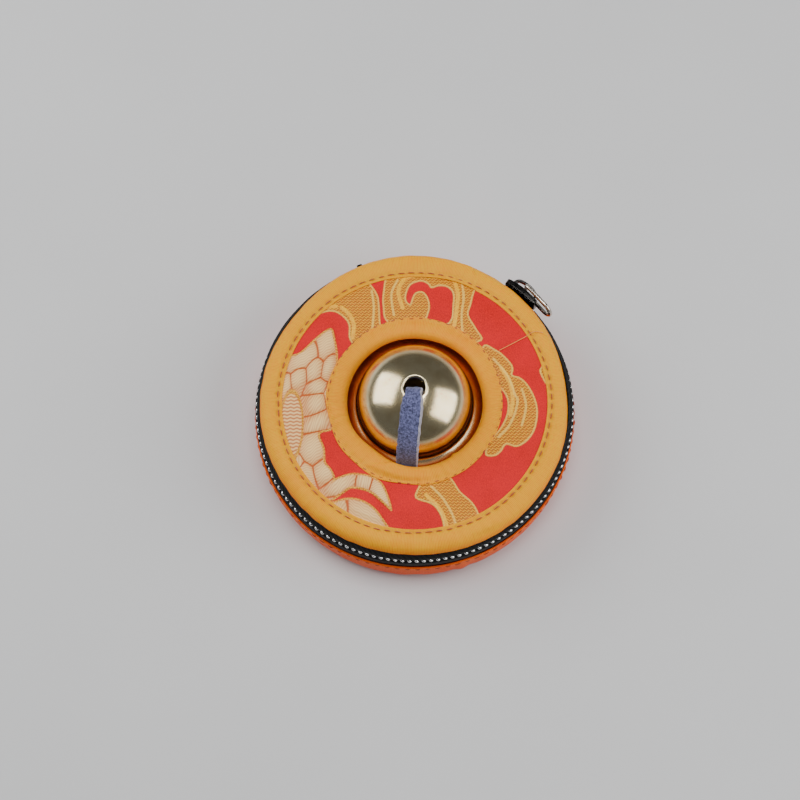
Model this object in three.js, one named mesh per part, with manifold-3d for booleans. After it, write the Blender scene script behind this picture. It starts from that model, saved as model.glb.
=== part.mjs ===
// A pair of hand cymbals (tingsha) packed in their round zip case: a brocade lid with a hole that the
// upper cymbal's bell stands through, a deeper base, a coil zip with its slider and pull ring, and the
// suede strap that joins the two cymbals. Millimetres, +Z up, resting on z = 0, the case's axis on Z,
// its fabric hinge at +Y.
import * as THREE from "three";
import { mergeVertices } from "three/addons/utils/BufferGeometryUtils.js";
import Module from "manifold-3d";

const wasm = await Module();
wasm.setup();

// ---- driving dimensions ------------------------------------------------------------------------
const WALL_R = 43.3; // outside of the base wall
const STITCH_R = 36.2; // where a side band is stitched down onto a panel
const PANEL_R = 37.8; // edge of a panel, under the band
const LINING_R = 38.5; // inside of the case wall
const LID_HOLE_R = 18; // clear radius of the lid's bound hole
const BINDING_R = 23.2; // outer edge of the hole's binding
const LID_TOP = 22; // top of the lid's brocade
const ZIP_Z = 16.5; // plane in which the zip parts
const BAND_TOP = 11.5; // upper edge of the base's side band
const LIP_Z = 19.45; // lower edge of the lid's side band

const CYMBAL_R = 34.5;
const BELL_R = 15.2;
const BELL_RISE = 12.2; // height of the bell above its widest section
const BELL_WALL = 1.9;
const BRIM = 3.2; // thickness at the rim
const CORD_HOLE_R = 2.7;
const LOWER_CYMBAL_Z = 3.2;
const NEST = 11; // how far the upper cymbal sits above the lower one

const STRAP_WIDTH = 5.8;
const STRAP_NECK = 4.4; // width where it passes a cymbal's hole
const STRAP = 1.3; // thickness
const KNOT_R = 2.7;

const HINGE_HALF = 26; // half the angle of the fabric hinge, degrees
const SLIDER_AT = 55; // azimuth of the closed slider, degrees
const SLIDER_HALF = 6.8; // half the angle that the slider covers
const END_STOP_AT = 117.8; // azimuth of the zip's bottom stop
const TEETH_END_AT = 62.1; // azimuth where the lower row of teeth ends, behind the slider
const TAPE_IN = 40.6;
const TAPE_OUT = 41.1;
const COIL_IN = 41.3;
const COIL_OUT = 42.8;
const ZIP_GAP = 0.45; // each side's clearance from the plane of the zip
const COIL_HIGH = 1.85;

const SEGMENTS = 48;
const REACH = 90; // longer than any radius here, for cutting wedges
const DEGREE = Math.PI / 180;

// ---- shapes ------------------------------------------------------------------------------------
/** A body of revolution about Z from an outline of [radius, height] points. */
function turned(outline, closed = true) {
  const points = outline.map(([r, z]) => new THREE.Vector2(r, z));
  if (THREE.ShapeUtils.area(points) < 0) points.reverse();
  if (closed) points.push(points[0].clone());
  return new THREE.LatheGeometry(points, SEGMENTS).rotateX(Math.PI / 2);
}

/** A plain ring of rectangular section. */
function ring(inner, outer, low, high) {
  return turned([[inner, low], [outer, low], [outer, high], [inner, high]]);
}

/** A plain disc. */
function disc(radius, low, high) {
  const outline = [[0, high], [radius, high], [radius, low], [0, low]].reverse();
  return turned(outline, false);
}

/** An outline of [x, y] points as a THREE.Shape. */
function shapeOf(points) {
  return new THREE.Shape(points.map(([x, y]) => new THREE.Vector2(x, y)));
}

/** Points on an ellipse's quadrant or arc, from one angle to another, in degrees. */
function arc(centreR, centreZ, radiusR, radiusZ, from, to, steps) {
  return Array.from({ length: steps + 1 }, (_, i) => {
    const angle = (from + ((to - from) * i) / steps) * DEGREE;
    return [centreR + radiusR * Math.cos(angle), centreZ + radiusZ * Math.sin(angle)];
  });
}

/** A tall wedge with its point on the axis, from one azimuth to another, under 180 degrees. */
function wedge(from, to) {
  const at = (azimuth) => [REACH * Math.cos(azimuth * DEGREE), REACH * Math.sin(azimuth * DEGREE)];
  const shape = shapeOf([[0, 0], at(from), at(to)]);
  const geometry = new THREE.ExtrudeGeometry(shape, { depth: REACH, bevelEnabled: false });
  return geometry.translate(0, 0, -REACH / 3);
}

/** A geometry as a manifold-3d solid. */
function solid(geometry) {
  const bare = geometry.clone();
  bare.deleteAttribute("normal");
  bare.deleteAttribute("uv");
  const merged = mergeVertices(bare, 1e-4);
  return new wasm.Manifold(
    new wasm.Mesh({
      numProp: 3,
      vertProperties: new Float32Array(merged.attributes.position.array),
      triVerts: new Uint32Array(merged.index.array),
    }),
  );
}

/** A manifold-3d solid as a geometry. */
function geometryOf(manifold) {
  const mesh = manifold.getMesh();
  const geometry = new THREE.BufferGeometry();
  geometry.setAttribute("position", new THREE.BufferAttribute(mesh.vertProperties, mesh.numProp));
  geometry.setIndex(new THREE.BufferAttribute(mesh.triVerts, 1));
  geometry.computeVertexNormals();
  return geometry;
}

const join = (a, b) => geometryOf(solid(a).add(solid(b)));
const cut = (a, b) => geometryOf(solid(a).subtract(solid(b)));
const common = (a, b) => geometryOf(solid(a).intersect(solid(b)));

// ---- materials ---------------------------------------------------------------------------------
function material(color, roughness, metalness = 0) {
  return new THREE.MeshStandardMaterial({ color, roughness, metalness });
}
const BROCADE = material(0xd3211b, 0.55);
const SATIN = material(0xf5a60a, 0.5);
const LINING = material(0xb5201c, 0.7);
const BOARD = material(0xb9a184, 0.9);
const FOAM = material(0xe9e4d8, 0.95);
const ZIP_TAPE = material(0x121212, 0.85);
const ZIP_COIL = material(0x0c0c0c, 0.3);
const GUNMETAL = material(0x4b4844, 0.3, 1);
const BRASS = material(0xcbb06a, 0.25, 1);
const SUEDE = material(0x3c4066, 0.95);

const root = new THREE.Group();

function add(name, geometry, finish, parent = root) {
  const mesh = new THREE.Mesh(geometry, finish);
  mesh.name = name;
  parent.add(mesh);
  return mesh;
}

// ---- base --------------------------------------------------------------------------------------
const hingeWedge = wedge(90 - HINGE_HALF, 90 + HINGE_HALF);
const FLOOR = 2.9; // top of the base's lining

/** The base's fabric wall: it turns in under the case and is stitched down at STITCH_R. */
function baseBand() {
  const foot = [[STITCH_R, 0], [40.8, 0], [42.3, 0.8], [43, 2.6]];
  const outside = [...foot, [WALL_R, 6.5], [WALL_R - 0.2, BAND_TOP]];
  const inside = [[41.4, BAND_TOP], [41.4, 7], [41.1, 3], [40.5, 1.6], [39.3, 0.9], [STITCH_R, 0.9]];
  return turned([...outside, ...inside]);
}

add("base_outer_panel", disc(STITCH_R - 0.3, 0, 0.8), BROCADE);
add("base_stiffener_board", disc(38.8, 1.1, 2.2), BOARD);
add("base_lining_panel", disc(LINING_R - 0.2, 2.4, FLOOR), LINING);
add("base_side_band", baseBand(), SATIN);
add("base_wall_padding", ring(39.2, 40.4, 2.4, 13.3), FOAM);
add("base_wall_lining", ring(LINING_R, 39, 2.4, 13.2), LINING);
add("hinge_gusset_lower", common(ring(40.65, 41.2, 8, ZIP_Z - 0.2), wedge(65, 115)), SATIN);

// ---- lid ---------------------------------------------------------------------------------------
const PANEL_IN = 19.3; // the panels' edge, inside the hole's binding

/** The lid's fabric band: from its stitching on the brocade, over the edge and down to the zip. */
function lidBand() {
  const outside = [[STITCH_R, 22.5], [38.4, 22.4], [40, 21.7], [40.8, 20.6], [41.1, LIP_Z]];
  const inside = [[40.35, LIP_Z], [40.1, 20.4], [39.4, 21.4], [38.2, 22.05], [STITCH_R, 22.1]];
  return turned([...outside, ...inside]);
}

/** The bias strip that is folded over the edge of the hole, above and below the panels. */
function holeBinding() {
  const outside = [[BINDING_R, 22.1], [BINDING_R, 22.45], [19.4, 22.6], [18.45, 22.25], [LID_HOLE_R, 21.3]];
  const under = [[18.25, 20.2], [19, 19.7], [22.2, 19.62], [22.2, 19.9]];
  const inside = [[19.1, 19.92], [18.85, 20.5], [18.85, 21.7], [19.2, 22.1]];
  return turned([...outside, ...under, ...inside]);
}

add("lid_outer_panel", ring(PANEL_IN, PANEL_R, 21.4, LID_TOP), BROCADE);
add("lid_stiffener_board", ring(PANEL_IN - 0.2, 38.6, 20.5, 21.3), BOARD);
add("lid_lining_panel", ring(PANEL_IN, LINING_R, 20, 20.4), LINING);
add("lid_hole_binding", holeBinding(), SATIN);
add("lid_side_band", lidBand(), SATIN);
add("lid_wall_lining", ring(LINING_R - 0.1, 39, ZIP_Z + 0.5, 19.8), LINING);
add("hinge_gusset_upper", common(ring(40.65, 41.2, ZIP_Z + 0.2, LIP_Z - 0.15), wedge(65, 115)), SATIN);

// ---- zip ---------------------------------------------------------------------------------------
// The lid's half of the zip stops here, short of the slider.
const slidingEnd = SLIDER_AT - SLIDER_HALF - 1.7;
const lidZipOff = wedge(slidingEnd, END_STOP_AT + 1.4);

add("zip_tape_lower", cut(ring(TAPE_IN, TAPE_OUT, 8, ZIP_Z - ZIP_GAP), hingeWedge), ZIP_TAPE);
add("zip_tape_upper", cut(ring(TAPE_IN, TAPE_OUT, ZIP_Z + ZIP_GAP, LIP_Z - 0.2), lidZipOff), ZIP_TAPE);

/** One side's row of coil teeth, as the plain ring that they fill. */
function coil(low, off) {
  return cut(ring(COIL_IN, COIL_OUT, low, low + COIL_HIGH), off);
}
add("zip_coil_lower", coil(ZIP_Z - ZIP_GAP - COIL_HIGH, wedge(TEETH_END_AT, END_STOP_AT + 1.4)), ZIP_COIL);
add("zip_coil_upper", coil(ZIP_Z + ZIP_GAP, lidZipOff), ZIP_COIL);

/** A metal stop crimped over the end of the zip, from one azimuth to another. */
function stop(from, to, low, high) {
  return common(ring(41.25, 43, low, high), wedge(from, to));
}
add("zip_bottom_stop", stop(END_STOP_AT - 1.1, END_STOP_AT + 1.1, ZIP_Z - 2.4, ZIP_Z + 2.4), GUNMETAL);
add("zip_top_stop", stop(TEETH_END_AT + 0.2, TEETH_END_AT + 1.7, ZIP_Z - 2.4, ZIP_Z - 0.3), GUNMETAL);

// ---- slider and pull, in a frame whose +X points out from the case at the slider ----------------
const slider = new THREE.Group();
slider.rotation.z = SLIDER_AT * DEGREE;
root.add(slider);

const PLATE_HALF = 3.1; // half the slider's width across the zip
const OUTER_PLATE_IN = 43.1;
const OUTER_PLATE_OUT = 44.3;

/** Two plates, the rims that hold the teeth in, and the blade that joins them and parts the teeth. */
function sliderBody() {
  const span = wedge(-SLIDER_HALF, SLIDER_HALF);
  const outerPlate = ring(OUTER_PLATE_IN, OUTER_PLATE_OUT, ZIP_Z - PLATE_HALF, ZIP_Z + PLATE_HALF);
  const innerPlate = ring(39.5, 40.3, ZIP_Z - 2.65, ZIP_Z + 2.65);
  const rim = (low) => ring(41.45, OUTER_PLATE_IN + 0.1, low, low + 0.6);
  const blade = ring(40.2, OUTER_PLATE_IN + 0.1, ZIP_Z - 0.22, ZIP_Z + 0.22);
  const inner = [innerPlate, rim(ZIP_Z - PLATE_HALF), rim(ZIP_Z + PLATE_HALF - 0.6)];
  const shell = inner.map((piece) => common(piece, span));
  const bladeEnd = common(blade, wedge(SLIDER_HALF - 3.4, SLIDER_HALF));
  return [...shell, bladeEnd].reduce(join, common(outerPlate, span));
}
add("slider_body", sliderBody(), GUNMETAL, slider);

const CROWN_THICK = 1.6;
const PIVOT_R = 45.5; // the pull ring's bar turns here, under the crown

/** The bridge on the slider's outer plate that holds the pull ring. */
function crown() {
  const foot = OUTER_PLATE_OUT + 0.15;
  const above = [[45.65, 3.2], [46.55, 2], [46.9, 0]];
  const below = [[46.55, -2], [45.65, -3.2]];
  const arch = shapeOf([[foot, -3.4], [foot, 3.4], ...above, ...below]);
  arch.holes.push(shapeOf(arc(PIVOT_R, 0, 0.82, 1.7, 0, 330, 11)));
  const options = { depth: CROWN_THICK, bevelEnabled: false, curveSegments: 6 };
  return new THREE.ExtrudeGeometry(arch, options).translate(0, 0, ZIP_Z - CROWN_THICK / 2);
}
add("slider_crown", crown(), GUNMETAL, slider);

const PULL_LONG = 10.2;
const PULL_HALF_WIDE = 3.2;
const PULL_WIRE = 1.2;
const PULL_OUT = -7; // turn of the ring out from the wall's tangent, in degrees: it leans inwards

/** The pull: a flat loop of wire, its near bar on the pivot and its length along -Y. */
function pullRing() {
  const loop = (margin) => {
    const half = PULL_HALF_WIDE - margin;
    const far = PULL_LONG - PULL_HALF_WIDE;
    const near = [[-half, -PULL_WIRE / 2 + margin], [half, -PULL_WIRE / 2 + margin]];
    return [...near, ...arc(0, far, half, PULL_HALF_WIDE - margin, 0, 180, 8)];
  };
  const shape = shapeOf(loop(0));
  shape.holes.push(shapeOf(loop(PULL_WIRE).reverse()));
  const geometry = new THREE.ExtrudeGeometry(shape, { depth: PULL_WIRE, bevelEnabled: false });
  return geometry.translate(0, 0, -PULL_WIRE / 2);
}
const pull = new THREE.Group();
pull.position.set(PIVOT_R, 0, ZIP_Z);
pull.rotation.z = PULL_OUT * DEGREE;
slider.add(pull);
// The loop is drawn in X and Y with its length along +Y: turned so that its width lies along Z.
const ringMesh = add("pull_ring", pullRing(), GUNMETAL, pull);
ringMesh.rotation.set(0, Math.PI / 2, Math.PI, "ZYX");

// ---- cymbals -----------------------------------------------------------------------------------
const WIDEST = 7.2; // height of the bell's widest section above the rim's underside
const FOOT_R = 18.9; // where the brim's flat top begins
const BRIM_AT_FOOT = 3.8;
const MOUTH_TOP = 7.4; // height where the bell's hollow begins to flare
const MOUTH_R = 19.4; // where the brim's underside ends and the hollow of the bell begins

/** A cast cymbal: rim, slightly rising brim, a cove, and a bell with a hole for the strap. */
function cymbal() {
  const rim = [[33.9, 0], [CYMBAL_R, 0.6], [CYMBAL_R, BRIM - 0.5], [34, BRIM]];
  const cove = arc(FOOT_R, WIDEST, FOOT_R - BELL_R, WIDEST - BRIM_AT_FOOT, 270, 180, 4);
  const holeTop = Math.acos((CORD_HOLE_R + 0.5) / BELL_R) / DEGREE;
  const bell = arc(0, WIDEST, BELL_R, BELL_RISE, 9, holeTop, 7);
  const insideR = BELL_R - BELL_WALL;
  const insideRise = BELL_RISE + WIDEST - BELL_WALL - MOUTH_TOP;
  const inside = arc(0, MOUTH_TOP, insideR, insideRise, Math.acos(CORD_HOLE_R / insideR) / DEGREE, 0, 6);
  const hole = [[CORD_HOLE_R, WIDEST + BELL_RISE - 0.75]];
  const mouth = arc(MOUTH_R, MOUTH_TOP, MOUTH_R - insideR, MOUTH_TOP - 0.6, 180, 270, 4).slice(1);
  return turned([...rim, ...cove, ...bell, ...hole, ...inside, ...mouth]);
}
const UPPER_CYMBAL_Z = LOWER_CYMBAL_Z + NEST;
add("cymbal_lower", cymbal(), BRASS).position.z = LOWER_CYMBAL_Z;
add("cymbal_upper", cymbal(), BRASS).position.z = UPPER_CYMBAL_Z;

// ---- strap -------------------------------------------------------------------------------------
/** One station of the strap: where its middle is, and half its width as a vector across it. */
function station(azimuth, out, height, across, width = STRAP_WIDTH) {
  const turn = azimuth * DEGREE;
  const middle = new THREE.Vector3(out * Math.cos(turn), out * Math.sin(turn), height);
  return { middle, across: across.clone().multiplyScalar(width / 2) };
}

/** A flat ribbon through a list of stations, closed at both ends. */
function ribbon(stations, steps) {
  const middle = new THREE.CatmullRomCurve3(stations.map((s) => s.middle), false, "centripetal");
  const across = new THREE.CatmullRomCurve3(stations.map((s) => s.across), false, "centripetal");
  const corners = [];
  for (let i = 0; i <= steps; i++) {
    const centre = middle.getPoint(i / steps);
    const along = middle.getTangent(i / steps);
    const side = across.getPoint(i / steps);
    const half = side.length();
    side.addScaledVector(along, -side.dot(along)).setLength(half);
    const up = new THREE.Vector3().crossVectors(side, along).setLength(STRAP / 2);
    for (const [u, v] of [[-1, -1], [1, -1], [1, 1], [-1, 1]])
      corners.push(centre.clone().addScaledVector(side, u).addScaledVector(up, v));
  }
  const faces = [0, 1, 2, 0, 2, 3];
  for (let i = 0; i < steps; i++)
    for (let k = 0; k < 4; k++) {
      const [a, b] = [4 * i + k, 4 * i + ((k + 1) % 4)];
      faces.push(a, a + 4, b, b, a + 4, b + 4);
    }
  const last = 4 * steps;
  faces.push(last, last + 2, last + 1, last, last + 3, last + 2);
  return new THREE.BufferGeometry().setFromPoints(corners).setIndex(faces);
}

const OFF_METAL = STRAP / 2 + 0.2; // from a cymbal's surface to the middle of the strap
const OUTER_AT = 270; // azimuth where the strap comes down the upper bell
const INNER_AT = 236; // azimuth where it climbs the lower bell
const COIL_Z = 10.3; // the coil stands on edge between the two brims
const bellTop = (cymbalZ) => cymbalZ + WIDEST + BELL_RISE;

/** A horizontal unit vector at an azimuth. */
const level = (azimuth) => new THREE.Vector3(Math.cos(azimuth * DEGREE), Math.sin(azimuth * DEGREE), 0);
const upright = new THREE.Vector3(0, 0, 1);

/** The strap from its knot, up through a cymbal's hole and down the outside of the bell. */
function downBell(azimuth, cymbalZ, side, lowest) {
  const top = bellTop(cymbalZ);
  const neck = [[0.7, top - 3.1], [0.75, top - 0.4], [1.9, top + 1.1]];
  const outside = arc(0, cymbalZ + WIDEST, BELL_R + OFF_METAL, BELL_RISE + OFF_METAL, 71, lowest, 4);
  return [
    ...neck.map(([r, z]) => station(azimuth, r, z, side, STRAP_NECK)),
    ...outside.map(([r, z]) => station(azimuth, r, z, side)),
  ];
}

/** The whole strap: off the upper bell, round the upper rim, once round between the brims, down. */
function strapStations() {
  const acrossOuter = level(OUTER_AT + 90);
  const acrossInner = level(INNER_AT - 90);
  const overBrim = [[17.2, 19.5], [19.6, 18.85], [26, 18.55], [33, 18.35]];
  const offBrim = [[35.8, 17.5], [36.5, 15.6], [35.4, 12.6], [32.6, 11]];
  const intoCoil = [[282, 29.6, 45], [294, 28.4, 80]];
  const turns = Array.from({ length: 7 }, (_, i) => [312 + i * 36, 28.2 - i * 0.3]);
  const outOfCoil = [[558, 25.6, 100], [575, 25, 130], [589, 23.4, 165]];
  const twisted = ([azimuth, r, twist]) => {
    const flat = level(azimuth < 360 ? OUTER_AT + 90 : INNER_AT + 90);
    const across = flat.multiplyScalar(Math.cos(twist * DEGREE));
    return station(azimuth, r, COIL_Z, across.addScaledVector(upright, Math.sin(twist * DEGREE)));
  };
  const inner = downBell(INNER_AT, LOWER_CYMBAL_Z, acrossInner, 27).reverse();
  return [
    ...downBell(OUTER_AT, UPPER_CYMBAL_Z, acrossOuter, 7),
    ...[...overBrim, ...offBrim].map(([r, z]) => station(OUTER_AT, r, z, acrossOuter)),
    ...intoCoil.map(twisted),
    ...turns.map(([azimuth, r]) => station(azimuth, r, COIL_Z, upright)),
    ...outOfCoil.map(twisted),
    station(INNER_AT, 20.6, 10.2, acrossInner),
    station(INNER_AT, 17.2, 11.4, acrossInner),
    ...inner,
  ];
}
add("strap", ribbon(strapStations(), 200), SUEDE);

/** A stopper knot inside a bell: a flattened ball with a waist where the strap crosses itself. */
function knot(cymbalZ) {
  const ball = new THREE.SphereGeometry(KNOT_R, 14, 10);
  return ball.scale(1.15, 1, 0.9).translate(0, -0.7, bellTop(cymbalZ) - 3.35 - KNOT_R * 0.9);
}
add("knot_upper", knot(UPPER_CYMBAL_Z), SUEDE);
add("knot_lower", knot(LOWER_CYMBAL_Z), SUEDE);

export default root;
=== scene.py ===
"""A pair of hand cymbals in their round zip case: what shows of it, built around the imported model.

Sizes are in millimetres until make() turns them into metres. Azimuths are in degrees from +X, towards +Y.
"""

import math

import bmesh
import bpy
import numpy as np
from mathutils import Matrix, Vector


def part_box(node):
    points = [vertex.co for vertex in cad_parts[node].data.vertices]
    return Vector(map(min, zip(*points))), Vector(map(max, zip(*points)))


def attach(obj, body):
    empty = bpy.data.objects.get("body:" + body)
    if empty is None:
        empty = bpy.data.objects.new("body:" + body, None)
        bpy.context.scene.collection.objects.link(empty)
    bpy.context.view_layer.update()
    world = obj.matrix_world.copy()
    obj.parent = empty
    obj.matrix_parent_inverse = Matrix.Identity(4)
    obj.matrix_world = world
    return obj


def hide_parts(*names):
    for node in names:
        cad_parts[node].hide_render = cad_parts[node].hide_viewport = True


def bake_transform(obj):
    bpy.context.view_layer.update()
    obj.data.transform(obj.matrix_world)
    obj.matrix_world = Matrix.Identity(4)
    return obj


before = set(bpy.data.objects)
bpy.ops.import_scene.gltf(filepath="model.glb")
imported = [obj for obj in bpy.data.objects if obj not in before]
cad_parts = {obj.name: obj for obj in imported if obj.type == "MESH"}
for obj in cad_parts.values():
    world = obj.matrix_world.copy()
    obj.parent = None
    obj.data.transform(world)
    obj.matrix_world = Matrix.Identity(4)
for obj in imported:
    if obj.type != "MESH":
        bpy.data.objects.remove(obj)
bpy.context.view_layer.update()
MM = 0.001
TAU = 2 * math.pi


def corner(node, high, axis):
    """One coordinate of a CAD node's box, in millimetres."""
    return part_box(node)[1 if high else 0][axis] / MM


# ---- sizes, from the frame where it has them ------------------------------------------------------
WALL_R = corner("base_side_band", True, 0)
BAND_TOP = corner("base_side_band", True, 2)
LIP_Z = corner("lid_side_band", False, 2)
LID_TOP = corner("lid_outer_panel", True, 2)
PANEL_R = corner("lid_outer_panel", True, 0)
BINDING_R = corner("lid_hole_binding", True, 0)
ZIP_Z = (corner("zip_coil_lower", True, 2) + corner("zip_coil_upper", False, 2)) / 2
LOWER_CYMBAL_Z = corner("cymbal_lower", False, 2)
UPPER_CYMBAL_Z = corner("cymbal_upper", False, 2)
STITCH_R = 36.2
STITCH_PITCH = 2.7
HOLE_R = 18.0
LINING_R = 38.5
SLIDER_AT = 55.0
VIEW_TURN = 7.0  # azimuth that the camera has moved round from the case's front
VIEW_ELEVATION = 72.0


# ---- mesh helpers ----------------------------------------------------------------------------------
def make(name, points, faces, body, material, corners=None, replaces=(), smooth=True):
    """A piece from points in millimetres. It rides on a body, or on none."""
    mesh = bpy.data.meshes.new(name)
    mesh.from_pydata((np.asarray(points, float) * MM).tolist(), [], faces)
    mesh.materials.append(material)
    if corners is not None:
        cloth = mesh.uv_layers.new(name="Cloth")
        cloth.data.foreach_set("uv", np.asarray(corners, np.float32).ravel())
    work = bmesh.new()
    work.from_mesh(mesh)
    bmesh.ops.recalc_face_normals(work, faces=work.faces)
    work.to_mesh(mesh)
    work.free()
    mesh.polygons.foreach_set("use_smooth", [smooth] * len(mesh.polygons))
    piece = bpy.data.objects.new(name, mesh)
    bpy.context.scene.collection.objects.link(piece)
    if body:
        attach(piece, body)
    if replaces:
        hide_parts(*replaces)
    return piece


def recover(node_name, material):
    """Gives a CAD node that is shown as it is a material of its own."""
    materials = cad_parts[node_name].data.materials
    materials.clear()
    materials.append(material)


def gathered(parts):
    """Several (points, faces) pairs as one."""
    points, faces, count = [], [], 0
    for some_points, some_faces in parts:
        points.append(np.asarray(some_points, float))
        faces += [[index + count for index in face] for face in some_faces]
        count += len(some_points)
    return np.concatenate(points), faces


def ripple(turn, seed, lowest, highest):
    """A line that wanders smoothly round the case, mostly within -1 and 1."""
    random = np.random.RandomState(seed)
    total = np.zeros_like(turn)
    for waves in range(lowest, highest + 1):
        total += random.uniform(0.4, 1) * np.sin(waves * turn + random.uniform(0, TAU))
    return total / math.sqrt(highest - lowest + 1)


def away(turn, azimuth):
    """Signed angle in degrees from an azimuth."""
    return (np.degrees(turn) - azimuth + 180) % 360 - 180


def hump(turn, azimuth, width):
    """1 at an azimuth, falling smoothly to 0 over a width in degrees."""
    return np.exp(-((away(turn, azimuth) / width) ** 2))


def smooth_step(value, low, high):
    """0 at low and 1 at high, which may be the smaller of the two."""
    share = np.clip((value - low) / (high - low), 0, 1)
    return share * share * (3 - 2 * share)


def spline(points, per=6, closed=False):
    """A Catmull-Rom curve through points of any dimension."""
    given = np.asarray(points, float)
    count = len(given)
    spans = count if closed else count - 1
    pick = (lambda i: given[i % count]) if closed else (lambda i: given[min(max(i, 0), count - 1)])
    found = []
    for i in range(spans):
        a, b, c, d = pick(i - 1), pick(i), pick(i + 1), pick(i + 2)
        for step in range(per):
            t = step / per
            cubic = (3 * b - a - 3 * c + d) * t**3
            found.append(0.5 * (2 * b + (c - a) * t + (2 * a - 5 * b + 4 * c - d) * t * t + cubic))
    if not closed:
        found.append(given[-1])
    return np.array(found)


def lattice(spans, rows, columns):
    """Quads between neighbours in a grid of points that wraps round, and each quad's row and column."""
    i, j = np.meshgrid(np.arange(spans), np.arange(columns), indexing="ij")
    i2, j2 = (i + 1) % rows, (j + 1) % columns
    quads = [i * columns + j, i2 * columns + j, i2 * columns + j2, i * columns + j2]
    return np.stack(quads, -1).reshape(-1, 4).tolist(), i, j


def swept(outline, start=0.0, end=360.0, segments=480, shape=None):
    """A closed outline of [radius, height] turned about Z. Returns points, faces and corners in cloth mm."""
    outline = np.asarray(outline, float)
    n = len(outline)
    whole = end - start >= 360
    count = segments if whole else segments + 1
    turn = np.radians(start + (end - start) * np.arange(count) / segments)[:, None]
    out = np.repeat(outline[None, :, 0], count, 0)
    high = np.repeat(outline[None, :, 1], count, 0)
    if shape:
        out, high = shape(turn, out, high)
    points = np.stack([out * np.cos(turn), out * np.sin(turn), high], -1).reshape(-1, 3)
    faces, i, j = lattice(segments, count, n)
    along = np.radians((end - start) / segments) * outline[:, 0].mean()
    step = np.linalg.norm(np.roll(outline, -1, 0) - outline, axis=1)
    across = np.concatenate([[0], np.cumsum(step)])
    u = np.stack([i, i + 1, i + 1, i], -1) * along
    v = np.stack([across[j], across[j], across[j + 1], across[j + 1]], -1)
    corners = np.stack([u, v], -1).reshape(-1, 2)
    if not whole:
        faces += [list(range(n)), list(range(segments * n, segments * n + n))]
        corners = np.concatenate([corners, np.zeros((2 * n, 2))])
    return points, faces, corners


def tube(path, radius, sides=8, closed=False):
    """A round tube along a path. The radius may change along it."""
    path = np.asarray(path, float)
    count = len(path)
    tangent = np.roll(path, -1, 0) - np.roll(path, 1, 0)
    if not closed:
        tangent[0], tangent[-1] = path[1] - path[0], path[-1] - path[-2]
    tangent /= np.linalg.norm(tangent, axis=1)[:, None]
    side = np.cross(tangent[0], [0, 0, 1] if abs(tangent[0][2]) < 0.9 else [1, 0, 0])
    sides_at = []
    for t in tangent:
        side = side - t * side.dot(t)
        side = side / np.linalg.norm(side)
        sides_at.append(side)
    side = np.array(sides_at)
    up = np.cross(tangent, side)
    angle = TAU * np.arange(sides) / sides
    thick = np.broadcast_to(np.asarray(radius, float), (count,))[:, None, None]
    ring = side[:, None] * np.cos(angle)[None, :, None] + up[:, None] * np.sin(angle)[None, :, None]
    points = (path[:, None] + thick * ring).reshape(-1, 3)
    spans = count if closed else count - 1
    faces = lattice(spans, count, sides)[0]
    if not closed:
        faces += [list(range(sides))[::-1], list(range((count - 1) * sides, count * sides))]
    return points, faces


def ring_outline(inner, outer, low, high, corner_r=0.15):
    """A rectangular section with its corners taken off."""
    c = corner_r
    return [
        [inner + c, low], [outer - c, low], [outer, low + c], [outer, high - c],
        [outer - c, high], [inner + c, high], [inner, high - c], [inner, low + c],
    ]


# ---- material helpers ------------------------------------------------------------------------------
def finish(name, colour, roughness, metallic=0.0, **settings):
    """A new material and its Principled shader. Settings are names of the shader's own sockets."""
    material = bpy.data.materials.new(name)
    material.use_nodes = True
    shader = material.node_tree.nodes["Principled BSDF"]
    shader.inputs["Base Color"].default_value = (*colour, 1)
    shader.inputs["Roughness"].default_value = roughness
    shader.inputs["Metallic"].default_value = metallic
    for socket, value in settings.items():
        shader.inputs[socket.replace("_", " ")].default_value = value
    return material, material.node_tree, shader


def node(tree, kind, inputs=None, **attributes):
    made = tree.nodes.new("ShaderNode" + kind)
    for name, value in attributes.items():
        setattr(made, name, value)
    for name, value in (inputs or {}).items():
        if isinstance(value, bpy.types.NodeSocket):
            tree.links.new(value, made.inputs[name])
        else:
            made.inputs[name].default_value = value
    return made


def math_node(tree, operation, a, b=0.0):
    return node(tree, "Math", {0: a, 1: b}, operation=operation).outputs[0]


def plus(tree, a, b):
    return math_node(tree, "ADD", a, b)


def times(tree, a, b):
    return math_node(tree, "MULTIPLY", a, b)


def mixed(tree, share, a, b):
    """Colour a where share is 0 and colour b where it is 1."""
    as_value = lambda c: c if isinstance(c, bpy.types.NodeSocket) else (*c, 1)
    made = node(tree, "Mix", {0: share, 6: as_value(a), 7: as_value(b)}, data_type="RGBA")
    return made.outputs[2]


def spread_out(tree, value, low, high):
    """Stretches a value so that low becomes 0 and high becomes 1."""
    return node(tree, "MapRange", {"Value": value, "From Min": low, "From Max": high}).outputs[0]


def cloth_at(tree, scale):
    """Cloth coordinates in millimetres, times a scale in each direction."""
    where = node(tree, "UVMap", uv_map="Cloth").outputs[0]
    return node(tree, "Mapping", {"Vector": where, "Scale": scale}).outputs[0]


def solid_at(tree, scale=1.0):
    """A piece's own coordinates in millimetres, times a scale."""
    where = node(tree, "TexCoord").outputs["Object"]
    scale = (scale,) * 3 if isinstance(scale, (int, float)) else scale
    return node(tree, "Mapping", {"Vector": where, "Scale": [s / MM for s in scale]}).outputs[0]


def noise(tree, where, scale=1.0, detail=2.0, roughness=0.5):
    values = {"Vector": where, "Scale": scale, "Detail": detail, "Roughness": roughness}
    return node(tree, "TexNoise", values).outputs["Fac"]


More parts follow.
